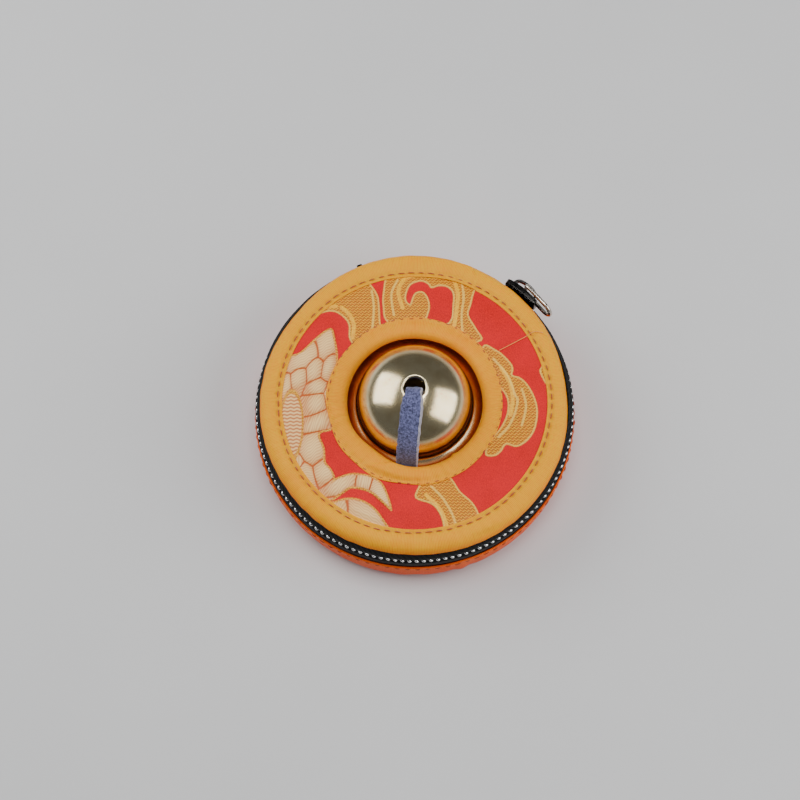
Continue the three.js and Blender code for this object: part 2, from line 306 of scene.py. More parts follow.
def bump(tree, shader, height, depth, strength=1.0, under=None):
    """Adds a relief of a depth in millimetres."""
    values = {"Height": height, "Distance": depth * MM, "Strength": strength}
    if under:
        values["Normal"] = under
    made = node(tree, "Bump", values).outputs[0]
    tree.links.new(made, shader.inputs["Normal"])
    return made


# ---- materials -------------------------------------------------------------------------------------
def satin(name, colour, painted_shade_colour, low, high):
    """Fine-ribbed satin, with painted shade: its colour turns deeper orange from height high down to height
    low, where the cloth curves away from the light, and its rib valleys are darkened.
    """
    material, tree, shader = finish(
        name, colour, 0.5, Sheen_Weight=0.05, Sheen_Roughness=0.4, Specular_IOR_Level=0.12,
        Subsurface_Weight=0.4, Subsurface_Scale=1.3 * MM,
    )
    shader.inputs["Sheen Tint"].default_value = (1, 0.5, 0.05, 1)
    shader.inputs["Subsurface Radius"].default_value = (1, 0.4, 0.1)
    values = {"Vector": cloth_at(tree, (1, 1, 1)), "Scale": 0.8, "Distortion": 1.2, "Detail": 2}
    values["Detail Scale"] = 0.6
    ribs = node(tree, "TexWave", values, wave_type="BANDS", bands_direction="X").outputs["Fac"]
    slubs = noise(tree, cloth_at(tree, (2.6, 0.3, 1)), detail=3)
    weft = noise(tree, cloth_at(tree, (1.2, 6, 1)), detail=1)
    ribbed = times(tree, ribs, 0.55)
    relief = plus(tree, ribbed, times(tree, slubs, 0.6))
    relief = plus(tree, relief, times(tree, weft, 0.25))
    # Painted shade: the colour deepens from height high down to height low; the random patches are the cloth's
    # own uneven tone.
    height = node(tree, "SeparateXYZ", {0: solid_at(tree)}).outputs[2]
    depth = spread_out(tree, height, high, low)
    patch = spread_out(tree, noise(tree, solid_at(tree, 0.07), detail=2), 0.3, 0.7)
    uneven = times(tree, math_node(tree, "SUBTRACT", patch, 0.5), 0.3)
    shade = plus(tree, depth, uneven)
    shade = node(tree, "Clamp", {0: shade}).outputs[0]
    tone_and_painted_shade = mixed(tree, shade, colour, painted_shade_colour)
    # Painted shade: the valleys between the ribs are darkened.
    painted_rib_shade = [c * f for c, f in zip(painted_shade_colour, (0.8, 0.55, 0.5))]
    dark = spread_out(tree, relief, 0.75, 0.3)
    shaded = mixed(tree, times(tree, dark, 0.5), tone_and_painted_shade, painted_rib_shade)
    tree.links.new(shaded, shader.inputs["Base Color"])
    bump(tree, shader, relief, 0.09, 0.8)
    return material


def brocade():
    """Red satin ground with gold and cream floats where the Motif attribute says, each float carrying painted
    shade and highlight along its threads.
    """
    material, tree, shader = finish(
        "brocade_cloth", (0.6, 0.0, 0.0), 0.5, Sheen_Weight=0.08, Specular_IOR_Level=0.25
    )
    motif = node(tree, "Attribute", attribute_name="Motif")
    parts = node(tree, "SeparateColor", {0: motif.outputs["Color"]}).outputs
    gold, cream, edge, thread = parts[0], parts[1], parts[2], motif.outputs["Alpha"]
    fine = noise(tree, solid_at(tree, (4.5, 2.2, 1)), detail=3, roughness=0.7)
    patch = spread_out(tree, noise(tree, solid_at(tree, 0.12), detail=2), 0.35, 0.65)
    ground = mixed(tree, spread_out(tree, fine, 0.3, 0.7), (0.4, 0.0, 0.0), (0.78, 0.002, 0.0))
    ground = mixed(tree, times(tree, patch, 0.35), ground, (0.8, 0.0, 0.012))
    speck = noise(tree, solid_at(tree, 3.2), detail=2, roughness=0.8)
    # Painted shade and highlight: the Motif alpha takes each gold float from a shaded colour where its threads
    # sink to a lit colour where they rise.
    gold_painted_shade = mixed(tree, spread_out(tree, speck, 0.42, 0.6), (0.55, 0.12, 0.0), (0.2, 0.015, 0.0))
    gold_lit = mixed(tree, spread_out(tree, speck, 0.42, 0.62), (0.85, 0.33, 0.0), (1.0, 0.58, 0.01))
    gold_colour = mixed(tree, thread, gold_painted_shade, gold_lit)
    # Painted shade and highlight on the cream floats, by the same Motif alpha.
    cream_colour = mixed(tree, thread, (0.5, 0.07, 0.0), (1.0, 0.66, 0.26))
    colour = mixed(tree, gold, ground, gold_colour)
    colour = mixed(tree, cream, colour, cream_colour)
    colour = mixed(tree, edge, colour, (1.0, 0.68, 0.12))
    tree.links.new(colour, shader.inputs["Base Color"])
    worked = math_node(tree, "MAXIMUM", gold, cream)
    lustre = math_node(tree, "SUBTRACT", 0.55, times(tree, worked, 0.17))
    tree.links.new(lustre, shader.inputs["Roughness"])
    weave = plus(tree, fine, times(tree, thread, 0.5))
    bump(tree, shader, weave, 0.07, 0.9)
    return material


def plain_cloth(name, colour, dark, pitch=0.5):
    """A plain weave of two crossing sets of threads."""
    material, tree, shader = finish(name, colour, 0.85, Sheen_Weight=0.2)
    sets = []
    for direction in ("X", "Y"):
        values = {"Vector": cloth_at(tree, (1, 1, 1)), "Scale": 0.314 / pitch, "Distortion": 0.8, "Detail": 2}
        sets.append(node(tree, "TexWave", values, bands_direction=direction).outputs["Fac"])
    weave = times(tree, sets[0], sets[1])
    worn = noise(tree, solid_at(tree, 0.2), detail=4)
    share = plus(tree, times(tree, weave, 0.8), times(tree, worn, 0.3))
    tree.links.new(mixed(tree, share, dark, colour), shader.inputs["Base Color"])
    bump(tree, shader, weave, 0.1, 0.7)
    return material


def bell_metal():
    """Cast bell metal, turned and polished, with a little patina."""
    material, tree, shader = finish("bell_metal", (0.72, 0.6, 0.36), 0.2, 1.0)
    where = solid_at(tree)
    apart = node(tree, "SeparateXYZ", {0: where}).outputs
    flat = node(tree, "CombineXYZ", {0: apart[0], 1: apart[1]}).outputs[0]
    out = node(tree, "VectorMath", {0: flat}, operation="LENGTH").outputs["Value"]
    rings = times(tree, out, 9.0)
    turning = node(tree, "CombineXYZ", {0: rings, 1: times(tree, apart[2], 9.0)})
    lathe = noise(tree, turning.outputs[0], detail=3, roughness=0.7)
    cloudy = noise(tree, solid_at(tree, 0.16), detail=5, roughness=0.6)
    pits = noise(tree, solid_at(tree, 1.6), detail=3, roughness=0.6)
    tone = mixed(tree, spread_out(tree, cloudy, 0.35, 0.7), (0.8, 0.68, 0.42), (0.6, 0.46, 0.24))
    pitted = times(tree, spread_out(tree, pits, 0.62, 0.75), 0.4)
    tone = mixed(tree, pitted, tone, (0.3, 0.2, 0.09))
    tree.links.new(tone, shader.inputs["Base Color"])
    rough = plus(tree, 0.1, times(tree, cloudy, 0.1))
    rough = plus(tree, rough, times(tree, lathe, 0.06))
    tree.links.new(rough, shader.inputs["Roughness"])
    relief = plus(tree, lathe, times(tree, pits, 0.5))
    bump(tree, shader, relief, 0.012, 0.5)
    return material


def zip_metal(name, colour, roughness):
    """Plated die-cast zinc, with rubbed spots."""
    material, tree, shader = finish(name, colour, roughness, 1.0)
    rubbed = spread_out(tree, noise(tree, solid_at(tree, 0.8), detail=5, roughness=0.65), 0.45, 0.7)
    lighter = [min(1, c * 1.9) for c in colour]
    tree.links.new(mixed(tree, rubbed, colour, lighter), shader.inputs["Base Color"])
    rough = plus(tree, roughness, times(tree, rubbed, 0.14))
    tree.links.new(rough, shader.inputs["Roughness"])
    bump(tree, shader, noise(tree, solid_at(tree, 2.5), detail=3), 0.01, 0.5)
    return material


def zip_tape():
    """Black tape with a herringbone twill."""
    material, tree, shader = finish(
        "zip_tape_cloth", (0.006, 0.006, 0.0065), 0.85, Sheen_Weight=0.03, Specular_IOR_Level=0.2
    )
    values = {"Vector": cloth_at(tree, (1, 1, 1)), "Scale": 0.42, "Distortion": 0.5, "Detail": 1}
    twill = node(tree, "TexWave", values, bands_direction="DIAGONAL").outputs["Fac"]
    black = mixed(tree, twill, (0.002, 0.002, 0.002), (0.008, 0.008, 0.0085))
    tree.links.new(black, shader.inputs["Base Color"])
    bump(tree, shader, twill, 0.09, 0.8)
    return material


def nylon():
    """Black nylon monofilament."""
    material, tree, shader = finish("nylon_coil", (0.004, 0.004, 0.0045), 0.25, Specular_IOR_Level=0.3)
    dust = spread_out(tree, noise(tree, solid_at(tree, 1.5), detail=4, roughness=0.7), 0.45, 0.8)
    black = mixed(tree, dust, (0.003, 0.003, 0.0035), (0.02, 0.019, 0.018))
    tree.links.new(black, shader.inputs["Base Color"])
    rough = plus(tree, 0.2, times(tree, dust, 0.25))
    tree.links.new(rough, shader.inputs["Roughness"])
    return material


def suede(name, colour, light, dark):
    """Brushed split leather: short fibres in every direction."""
    material, tree, shader = finish(
        name, colour, 0.95, Sheen_Weight=0.25, Sheen_Roughness=0.6, Specular_IOR_Level=0.1
    )
    nap = noise(tree, solid_at(tree, 1.7), detail=5, roughness=0.8)
    patch = noise(tree, solid_at(tree, 0.5), detail=3)
    fibres = times(tree, spread_out(tree, nap, 0.42, 0.62), 0.75)
    share = plus(tree, fibres, times(tree, patch, 0.25))
    tree.links.new(mixed(tree, share, dark, light), shader.inputs["Base Color"])
    bump(tree, shader, nap, 0.22, 0.9)
    return material


def thread(name, colour, dark):
    """Twisted sewing thread."""
    material, tree, shader = finish(name, colour, 0.55, Sheen_Weight=0.3)
    ply = noise(tree, solid_at(tree, 6.0), detail=2)
    tree.links.new(mixed(tree, ply, dark, colour), shader.inputs["Base Color"])
    bump(tree, shader, ply, 0.05, 0.6)
    return material


def pulp(name, colour, dark, scale, depth):
    """Board or wadding: fibres or pores of one size."""
    material, tree, shader = finish(name, colour, 0.95)
    grain = noise(tree, solid_at(tree, scale), detail=5, roughness=0.7)
    tree.links.new(mixed(tree, grain, dark, colour), shader.inputs["Base Color"])
    bump(tree, shader, grain, depth, 0.8)
    return material


BROCADE = brocade()
# In all three satins the deeper colour lower down is painted shade.
LID_SATIN = satin("golden_satin", (0.96, 0.42, 0.0), (0.9, 0.17, 0.0), LIP_Z, LID_TOP - 0.5)
BINDING_SATIN = satin("golden_satin_binding", (0.96, 0.38, 0.0), (0.92, 0.13, 0.0), 19.8, LID_TOP - 0.5)
# The wall is the same golden satin as the lid; its redder colour is painted shade, standing in for the shade
# the wall lies in.
WALL_SATIN_PAINTED_SHADE = satin("golden_satin_wall_painted_shade", (0.96, 0.13, 0.0), (0.9, 0.04, 0.0), 1, BAND_TOP)
LINING = plain_cloth("lining_cloth", (0.5, 0.02, 0.016), (0.2, 0.006, 0.006))
TAPE = zip_tape()
NYLON = nylon()
# Painted glints: a bright metal finish for the black nylon heads of the lower coil.
COIL_HEAD_PAINTED_GLINT = zip_metal("coil_head_painted_glint", (0.75, 0.75, 0.75), 0.12)
GUNMETAL = zip_metal("gunmetal_plate", (0.035, 0.033, 0.031), 0.16)
NICKEL = zip_metal("dark_nickel_wire", (0.5, 0.45, 0.39), 0.14)
BELL = bell_metal()
SUEDE = suede("blue_suede", (0.05, 0.055, 0.12), (0.2, 0.21, 0.44), (0.002, 0.003, 0.02))
SUEDE_EDGE = suede("suede_cut_edge", (0.4, 0.38, 0.44), (0.55, 0.52, 0.58), (0.22, 0.21, 0.27))
STITCHES = thread("red_orange_thread", (0.5, 0.06, 0.0), (0.25, 0.012, 0.0))
GOLD_THREAD = thread("gold_thread", (0.95, 0.4, 0.05), (0.7, 0.2, 0.02))
BOARD = pulp("stiffening_board", (0.5, 0.4, 0.28), (0.32, 0.24, 0.16), 1.2, 0.05)
WADDING = pulp("wadding", (0.82, 0.79, 0.72), (0.6, 0.57, 0.5), 1.6, 0.3)


# ---- brocade pattern -------------------------------------------------------------------------------
# Outlines and lines in millimetres on the lid, +X right and +Y up as the lid is seen from above.
GOLD_SHAPES = [
    # cloud block at the upper left, with a tail along the edge
    [(-36, 14), (-33.5, 15.5), (-29.6, 20.6), (-26.8, 23.6), (-23.7, 25), (-21.2, 24.8), (-18.9, 23.1),
     (-17.7, 21), (-17.4, 17), (-14, 14), (-9.3, 18), (-9.3, 23), (-9.6, 28.2), (-10.4, 30.7),
     (-12.2, 33.6), (-14, 38), (-26, 33), (-34, 24)],
    # arched scroll at the top with its right-hand limb
    [(-8, 35.5), (-8.6, 30.3), (-8.6, 26.6), (-7.4, 22), (0, 18), (9, 16), (17.8, 16.6), (16.5, 20.2),
     (14.5, 24), (15.2, 27), (15.8, 29.7), (16.6, 33), (15, 38), (0, 40), (-8, 38)],
    # small leaf at the upper right edge
    [(18.3, 33.5), (19, 31.8), (21.3, 29), (22.6, 27.4), (25.8, 27), (27.6, 25), (31, 27), (24, 36)],
    # scalloped cloud at the right, with its tail
    [(18.6, 15.6), (21.6, 14.2), (23.5, 12.8), (25.8, 10.1), (26.2, 8.4), (26, 7), (28, 6.3), (30, 4.3),
     (31.6, 1.2), (32.4, -1.8), (32.4, -4.8), (31.5, -8.4), (29.5, -11.3), (26.7, -12.9), (24, -12.3),
     (22.7, -14.1), (21, -15.4), (18.7, -15.3), (18.6, -13.4), (19.8, -11), (22.9, -7), (24.5, -2.7),
     (24, 1.5), (20.5, 6), (17.5, 12)],
    # cloud that comes in from the right-hand edge
    [(35.4, 13), (33.7, 9.4), (33.2, 8), (34.5, 5), (35.6, 3.3), (35.2, 0), (35.6, -3), (37.4, -6),
     (41, -4), (41, 13)],
    # limb at the bottom
    [(0.2, -26.8), (0.9, -23.8), (3, -20), (8.7, -20.6), (11.8, -24.9), (14.8, -27.7), (16.5, -30.6),
     (17.6, -34.5), (14, -40), (8, -40), (7.4, -34.2), (6.4, -30.9), (4.3, -28.4)],
]
GROUND_SHAPES = [
    # the field inside the scroll
    [(-2.3, 28.4), (-2.1, 30.6), (-1, 32.8), (1.6, 33.8), (3.5, 33), (4.5, 31.8), (6.5, 32.4),
     (8.7, 32.1), (10.2, 30.4), (10.2, 27), (9.2, 22), (3.2, 21), (4.1, 26), (3.7, 28.7), (2.7, 30.4),
     (1.5, 30.9), (0, 30.3), (-0.8, 28.6), (-1.3, 27.2)],
]
CREAM_SHAPES = [
    # bank of petals down the left
    [(-40, 12), (-36, 12.6), (-33.7, 12.8), (-30.6, 13.4), (-26.6, 17.4), (-22.5, 20.3), (-21.2, 16.8),
     (-20.5, 12), (-20.6, 4), (-20.6, -4), (-21.6, -8), (-24.9, -9.4), (-23.6, -13.4), (-23.3, -17),
     (-21.7, -19.1), (-20.7, -22), (-22.6, -24.4), (-25, -27), (-33, -24), (-40, -8)],
    # arched band at the lower left
    [(-24.5, -25.5), (-21.4, -22), (-18, -20.4), (-15.2, -20), (-11.2, -20.8), (-8.5, -22.7),
     (-6.8, -26.3), (-5.9, -30.2), (-8.1, -28.4), (-11.2, -25.6), (-13.9, -24.5), (-16.6, -24.2),
     (-19, -25.8), (-22, -27.6)],
    # leaf below it
    [(-24.5, -28.4), (-21.4, -27.7), (-17.9, -26.7), (-14.5, -27), (-11.1, -28.8), (-8.4, -32),
     (-6.2, -37), (-14, -40), (-24, -35)],
]
PALE_LINES = [
    [(-5.6, 24), (-6.3, 30), (-4.6, 34.2)],
    [(12.8, 33), (13.2, 29), (12.6, 24), (12.8, 19)],
    [(21, 11.6), (24.8, 6.7), (26.5, 1.6), (27.2, 0.1), (26.5, -3.4), (24.7, -7.3), (22, -10.2)],
    [(28.4, 3), (29.4, -1.6), (28.2, -7)],
    [(4.3, -23.6), (7.4, -27), (9.8, -31.3), (11.1, -35.6)],
    [(-11.6, 31), (-11, 26), (-11.4, 20)],
]
YELLOW_STRIPS = [
    [(-3.2, 26), (-4.4, 30.4), (-3.5, 33.5), (-1.2, 35.4), (3.4, 35.6)],
    [(10.8, 33.8), (11.6, 30.4), (11.4, 26.3), (10.6, 21)],
    [(-30.6, 21.8), (-26.6, 25), (-23.7, 26.4), (-21.2, 26.6)],
    [(-19.6, 26.2), (-17.4, 24), (-16.3, 21), (-16.6, 17.6)],
    [(23, 9), (25.3, 4.6), (25.9, 0), (25.2, -4)],
    [(3, -26), (5.8, -28.8), (7.6, -32), (8.8, -36.5)],
]
# Padded petals: middle, half length, half width, then the length's and the threads' directions in degrees.
PETALS = [
    (-23.6, 16.0, 4.6, 2.8, 65, 35), (-29.4, 12.0, 5.8, 2.7, 40, 30), (-26.8, 8.6, 3.5, 2.0, 75, 50),
    (-30.9, 6.3, 3.1, 2.1, 65, 40), (-22.9, 9.2, 3.4, 1.5, 75, 5), (-25.8, 3.6, 2.4, 2.2, 20, 45),
    (-34.2, 4.2, 3.3, 1.5, 80, 30), (-25.9, -0.8, 3.0, 2.3, 60, 60), (-22.4, 1.6, 3.0, 1.6, 85, 20),
    (-25.6, -6.3, 4.0, 2.1, 38, 75), (-26.7, -13.0, 4.3, 3.2, 75, 40), (-23.4, -19.6, 3.2, 2.8, 45, 40),
    (-28.6, -20.2, 3.6, 2.2, -60, 0), (-31, -17.2, 2.6, 2, -70, 90), (-19.2, -22.9, 4.3, 2.4, 35, 55),
    (-13.0, -22.1, 2.3, 2.5, 0, 80), (-8.9, -25.4, 4.8, 2.1, -60, 20), (-20.6, -30.4, 4.0, 3.6, 40, 60),
    (-12.4, -32.6, 7.0, 4.0, -42, -35),
]
BARRED_OVAL = ((-32.5, -7), (3.1, 9.6))  # centre and half sizes of the ribbed stem in the petals
EDGE_WIDE = 0.42  # of the pale thread that outlines a shape


def near(x, y, line, margin):
    """Which points are within a margin of a line's box, how far they are from it and if they are inside it."""
    (x0, y0), (x1, y1) = line.min(0) - margin, line.max(0) + margin
    close = (x > x0) & (x < x1) & (y > y0) & (y < y1)
    px, py = x[close], y[close]
    nearest = np.full(px.shape, 1e9)
    crossed = np.zeros(px.shape, bool)
    for (ax, ay), (bx, by) in zip(line[:-1], line[1:]):
        dx, dy = bx - ax, by - ay
        share = np.clip(((px - ax) * dx + (py - ay) * dy) / (dx * dx + dy * dy + 1e-12), 0, 1)
        nearest = np.minimum(nearest, (px - ax - share * dx) ** 2 + (py - ay - share * dy) ** 2)
        if ay != by:
            crossed ^= ((ay > py) != (by > py)) & (px < ax + (py - ay) * dx / dy)
    return close, np.sqrt(nearest), crossed


def inside_by(x, y, outline):
    """How far each point is inside a smooth closed outline; negative outside it."""
    line = spline(outline, 4, closed=True)
    close, distance, within = near(x, y, np.concatenate([line, line[:1]]), 1)
    found = np.full(x.shape, -9.0)
    found[close] = np.where(within, distance, -distance)
    return found


def near_line(x, y, points):
    """Distance from a smooth open line, up to 9 mm."""
    close, distance, _ = near(x, y, spline(points, 5), 2)
    found = np.full(x.shape, 9.0)
    found[close] = distance
    return found


def petals(x, y):
    """The padded petals: how domed each point is, its seam with the next petal, and its threads."""
    first, second, threads = (np.full(x.shape, v) for v in (9.0, 9.0, 0.0))
    for px, py, long, wide, tilt, run in PETALS:
        c, s = math.cos(math.radians(tilt)), math.sin(math.radians(tilt))
        away_from = np.hypot(((x - px) * c + (y - py) * s) / long, ((y - py) * c - (x - px) * s) / wide)
        across = y * math.cos(math.radians(run)) - x * math.sin(math.radians(run))
        mine = 0.5 + 0.5 * np.sin(TAU * across / 0.62 + 1.4 * np.sin(TAU * x / 2.3))
        nearer = away_from < first
        second = np.where(nearer, first, np.minimum(second, away_from))
        threads = np.where(nearer, mine, threads)
        first = np.minimum(first, away_from)
    dome = 1 - np.clip(first, 0, 1.15) ** 2 / 1.33
    return dome, smooth_step(second - first, 0.2, 0.05), threads


def pattern(x, y):
    """Shares of gold, cream and pale edge at each point, the height of its thread, which also sets its painted
    shade and highlight, and the relief in mm.
    """
    soft = 0.12
    gold_in = np.max([inside_by(x, y, outline) for outline in GOLD_SHAPES], 0)
    for outline in GROUND_SHAPES:
        gold_in = np.minimum(gold_in, -inside_by(x, y, outline))
    cream_in = np.max([inside_by(x, y, outline) for outline in CREAM_SHAPES], 0)
    cream = smooth_step(cream_in, -soft, soft)
    gold = smooth_step(gold_in, -soft, soft) * (1 - cream)
    edge = gold * smooth_step(gold_in, EDGE_WIDE + soft, EDGE_WIDE - soft)
    for points in PALE_LINES:
        edge = np.maximum(edge, gold * smooth_step(near_line(x, y, points), 0.4, 0.2))
    strip = np.zeros(x.shape)
    for points in YELLOW_STRIPS:
        strip = np.maximum(strip, gold * smooth_step(near_line(x, y, points), 0.62, 0.42))
    dome, seam, strands = petals(x, y)
    rim = cream * smooth_step(cream_in, EDGE_WIDE + 0.1 + soft, EDGE_WIDE + 0.1 - soft)
    (cx, cy), (hx, hy) = BARRED_OVAL
    oval = 1 - np.hypot((x - cx) / hx, (y - cy) / hy)
    oval_line = smooth_step(np.abs(oval - 0.02), 0.11, 0.05)
    barred = smooth_step(oval, 0.02, 0.08)
    bars = 0.5 + 0.5 * np.sin(TAU * (y + 0.14 * np.sin(TAU * x / 1.7)) / 0.98)
    rows = 0.5 + 0.5 * np.sin(TAU * (y + 0.2 * np.sin(TAU * (x + 0.3 * y) / 1.05)) / 0.8)
    flecks = 0.5 + 0.5 * np.sin(TAU * (0.7 * x + 0.6 * y) / 0.47)
    # Painted shade in the furrows between the gold rows and painted highlight on their crests.
    gold_thread = rows * (0.6 + 0.4 * flecks) * (1 - strip) + strip
    dome = dome * (1 - barred) + 0.6 * barred
    seam = seam * (1 - barred)
    # Painted highlight on the middle of each padded petal and painted shade towards its edges, besides its
    # threads; the seams are dark joints.
    cream_thread = (0.2 + 0.42 * strands + 0.45 * dome) * (1 - barred) + (0.1 + 0.9 * bars) * barred
    cream_thread = cream_thread * (1 - 0.95 * seam)
    dots = 0.6 + 0.4 * np.sin(TAU * (x + y) / 0.8) * np.sin(TAU * (x - y) / 0.8)
    is_rim = np.maximum(rim, cream * oval_line)
    is_gold = np.maximum(gold, is_rim)
    is_cream = cream * (1 - is_rim)
    height = np.where(is_cream > 0.5, np.clip(cream_thread, 0, 1), gold_thread)
    edge = np.maximum(edge * dots, is_rim * (dots > 0.7) * 0.75)
    relief = 0.1 * gold + 0.1 * gold * gold_thread + 0.07 * edge
    relief = relief + cream * (0.06 + 0.6 * dome - 0.14 * seam + 0.05 * cream_thread)
    return np.stack([is_gold, is_cream, edge, height], -1), relief


def brocade_disc(name, inner, outer, top, thickness, body, node_name, puff, facing=1.0):
    """A flat brocade panel with its pattern in relief. It faces up, or down if facing is -1."""
    across, around = 120, 1440
    out = np.linspace(inner, outer, across)
    turn = np.radians(np.arange(around) * 360 / around)
    r, t = np.meshgrid(out, turn, indexing="ij")
    seen = t - math.radians(VIEW_TURN)
    marks, relief = pattern(r * np.cos(seen), r * np.sin(seen))
    has_hole = inner > 1
    low_seam, high_seam = max(inner, BINDING_R - 1) if has_hole else -5, STITCH_R
    crown = np.sin(np.pi * np.clip((r - low_seam) / (high_seam - low_seam), 0, 1))
    slack = 0.5 + 0.5 * ripple(t, 11, 2, 7)
    folds = 0.07 * ripple(t + 0.05 * r, 15, 5, 14) * crown
    pucker = np.exp(-(((r - high_seam) / 1.6) ** 2)) * 0.06 * ripple(t, 12, 50, 80)
    free = smooth_step(r, 35.3, 33.4)  # the relief is pressed flat at the seams
    if has_hole:
        free = free * smooth_step(r, BINDING_R - 0.4, BINDING_R + 1.2)
    rise = (relief * free + puff * crown * (0.5 + 0.5 * slack) + puff * folds + pucker) * facing
    upper = np.stack([r * np.cos(t), r * np.sin(t), top + rise], -1).reshape(-1, 3)
    lower = np.stack([r * np.cos(t), r * np.sin(t), np.full(r.shape, top - thickness * facing)], -1)
    rows = [upper, lower[0], lower[-1]]
    faces = lattice(across - 1, across, around)[0]
    first, last = across * around, across * around + around
    edge_in, edge_out = 0, (across - 1) * around
    for k in range(around):
        k2 = (k + 1) % around
        faces.append([edge_in + k, edge_in + k2, first + k2, first + k])
        faces.append([edge_out + k, edge_out + k2, last + k2, last + k])
        faces.append([first + k, first + k2, last + k2, last + k])
    points = np.concatenate(rows)
    panel = make(name, points, faces, body, BROCADE, replaces=[node_name])
    colours = panel.data.attributes.new("Motif", "FLOAT_COLOR", "POINT")
    values = np.zeros((len(points), 4), np.float32)
    values[: across * around] = marks.reshape(-1, 4)
    colours.data.foreach_set("color", values.ravel())
    return panel


# ---- stitching -------------------------------------------------------------------------------------
def stitches(name, radius, height, pitch, body, wander=0.0, dip=0.28, long_share=0.68, seed=1, outward=False):
    """A ring of running stitches, each with both its ends pulled down into the cloth."""
    count = round(TAU * radius / pitch)
    random = np.random.RandomState(seed)
    parts = []
    for k in range(count):
        centre = TAU * k / count
        half = long_share * pitch / radius / 2 * random.uniform(0.85, 1.1)
        share = np.linspace(-1, 1, 7)
        turn = centre + half * share
        sink = dip * np.abs(share) ** 2.5
        shift = wander * ripple(turn, seed + 7, 3, 9) + random.uniform(-0.08, 0.08)
        r = radius + shift - (sink if outward else 0)
        z = np.full(7, float(height)) - (0 if outward else sink)
        path = np.stack([r * np.cos(turn), r * np.sin(turn), z], -1)
        parts.append(tube(path, [0.07, 0.13, 0.16, 0.17, 0.16, 0.13, 0.07], 6))
    points, faces = gathered(parts)
    return make(name, points, faces, body, STITCHES)


# ---- lid -------------------------------------------------------------------------------------------
SEAM_AT = 72.0  # azimuth where the ends of the lid's side band are lapped
CREASE_AT = 304.0


def lid_band_shape(turn, out, high):
    """Soft unevenness, gathers at the stitches, the lapped seam and a crease or two."""
    stitched = np.exp(-(((out - STITCH_R) / 0.8) ** 2)) * (high > LID_TOP - 0.2)
    pitch_turns = round(TAU * STITCH_R / STITCH_PITCH)
    upper = smooth_step(high, LIP_Z + 0.4, LIP_Z + 2)
    gathers = 0.10 * np.sin(pitch_turns * turn) + 0.05 * ripple(turn, 3, 60, 95)
    puff = np.exp(-(((out - 38.2) / 1.8) ** 2)) * (high > LID_TOP)
    lapped = smooth_step(away(turn, SEAM_AT) - (out - 38) * 1.1, -0.4, 0.4) * hump(turn, SEAM_AT + 6, 10)
    rise = -0.16 * stitched + gathers * (0.35 * stitched + 0.5 * puff)
    rise = rise + 0.12 * puff * ripple(turn, 4, 8, 24) + 0.3 * lapped * upper * (high > LID_TOP - 0.4)
    crease = hump(turn, CREASE_AT, 5) * np.exp(-(((out - 40) / 0.7) ** 2))
    seen = turn - math.radians(VIEW_TURN)
    slack = 1.35 * hump(seen, 90, 27) + 0.5 * hump(seen, 300, 25)
    slack = slack - 0.5 * hump(seen, 5, 18) - 0.35 * hump(seen, 140, 15)
    out = out + slack * smooth_step(out, 36, 40.5)
    out = out + 0.22 * ripple(turn, 5, 2, 6) * smooth_step(out, 36, 40) + 0.25 * lapped * upper
    out = out + 0.05 * ripple(turn, 6, 25, 60) * smooth_step(out, 38.5, 41) - 0.3 * crease
    return out, high + rise - 0.25 * crease


def lid_side_band():
    outline = spline(
        [[35.25, 22.08], [35.15, 22.28], [35.5, 22.4], [36.2, 22.3], [37.2, 22.5], [38.6, 22.45],
         [39.9, 21.85], [40.7, 20.8], [41.1, LIP_Z + 0.5], [41.05, LIP_Z], [40.7, LIP_Z - 0.05],
         [40.35, LIP_Z + 0.2], [40.1, 20.4], [39.4, 21.3], [38.2, 21.9], [36.4, 22.02]],
        4, closed=True,
    )
    points, faces, corners = swept(outline, segments=1200, shape=lid_band_shape)
    band = make("lid_satin_band", points, faces, "lid", LID_SATIN, corners, ["lid_side_band"])


FOLD_AT = 237.0  # azimuth of the fold where the ends of the hole's binding meet
NOTCH_AT = 312.0
HOLE_STITCH_R = 22.3


def binding_shape(turn, out, high):
    """The bias strip's ribs and puckers, and the fold where its two ends are tucked together."""
    top = smooth_step(high, 21.2, 22.0)
    inner = smooth_step(out, 20.6, 18.2)
    flat = np.exp(-((away(turn, FOLD_AT) / 21) ** 2))
    step = smooth_step(away(turn, FOLD_AT + 13) + (out - 20) * 5.5, -1.2, 1.2)
    fold = hump(turn, FOLD_AT + 20, 22) * step
    notch = hump(turn, NOTCH_AT, 2.6) * inner
    puckers = 0.05 * ripple(turn, 21, 40, 70) + 0.09 * ripple(turn, 22, 9, 22)
    middle = np.exp(-(((out - 20.6) / 1.5) ** 2))
    rise = top * (puckers * (0.4 + 0.8 * middle) + 0.62 * fold * smooth_step(out, 22.6, 21)) - 0.2 * notch
    stitched = np.exp(-(((out - HOLE_STITCH_R) / 0.5) ** 2)) * top
    rise = rise - 0.1 * stitched * (1 + np.sin(round(TAU * HOLE_STITCH_R / STITCH_PITCH) * turn))
    out = out - 1.25 * flat * inner + 0.16 * ripple(turn, 23, 2, 6) * inner - 0.35 * notch
    out = out + smooth_step(out, 21.8, 23.0) * (0.22 * ripple(turn, 24, 3, 12) + 0.3 * flat)
    return out, high + rise


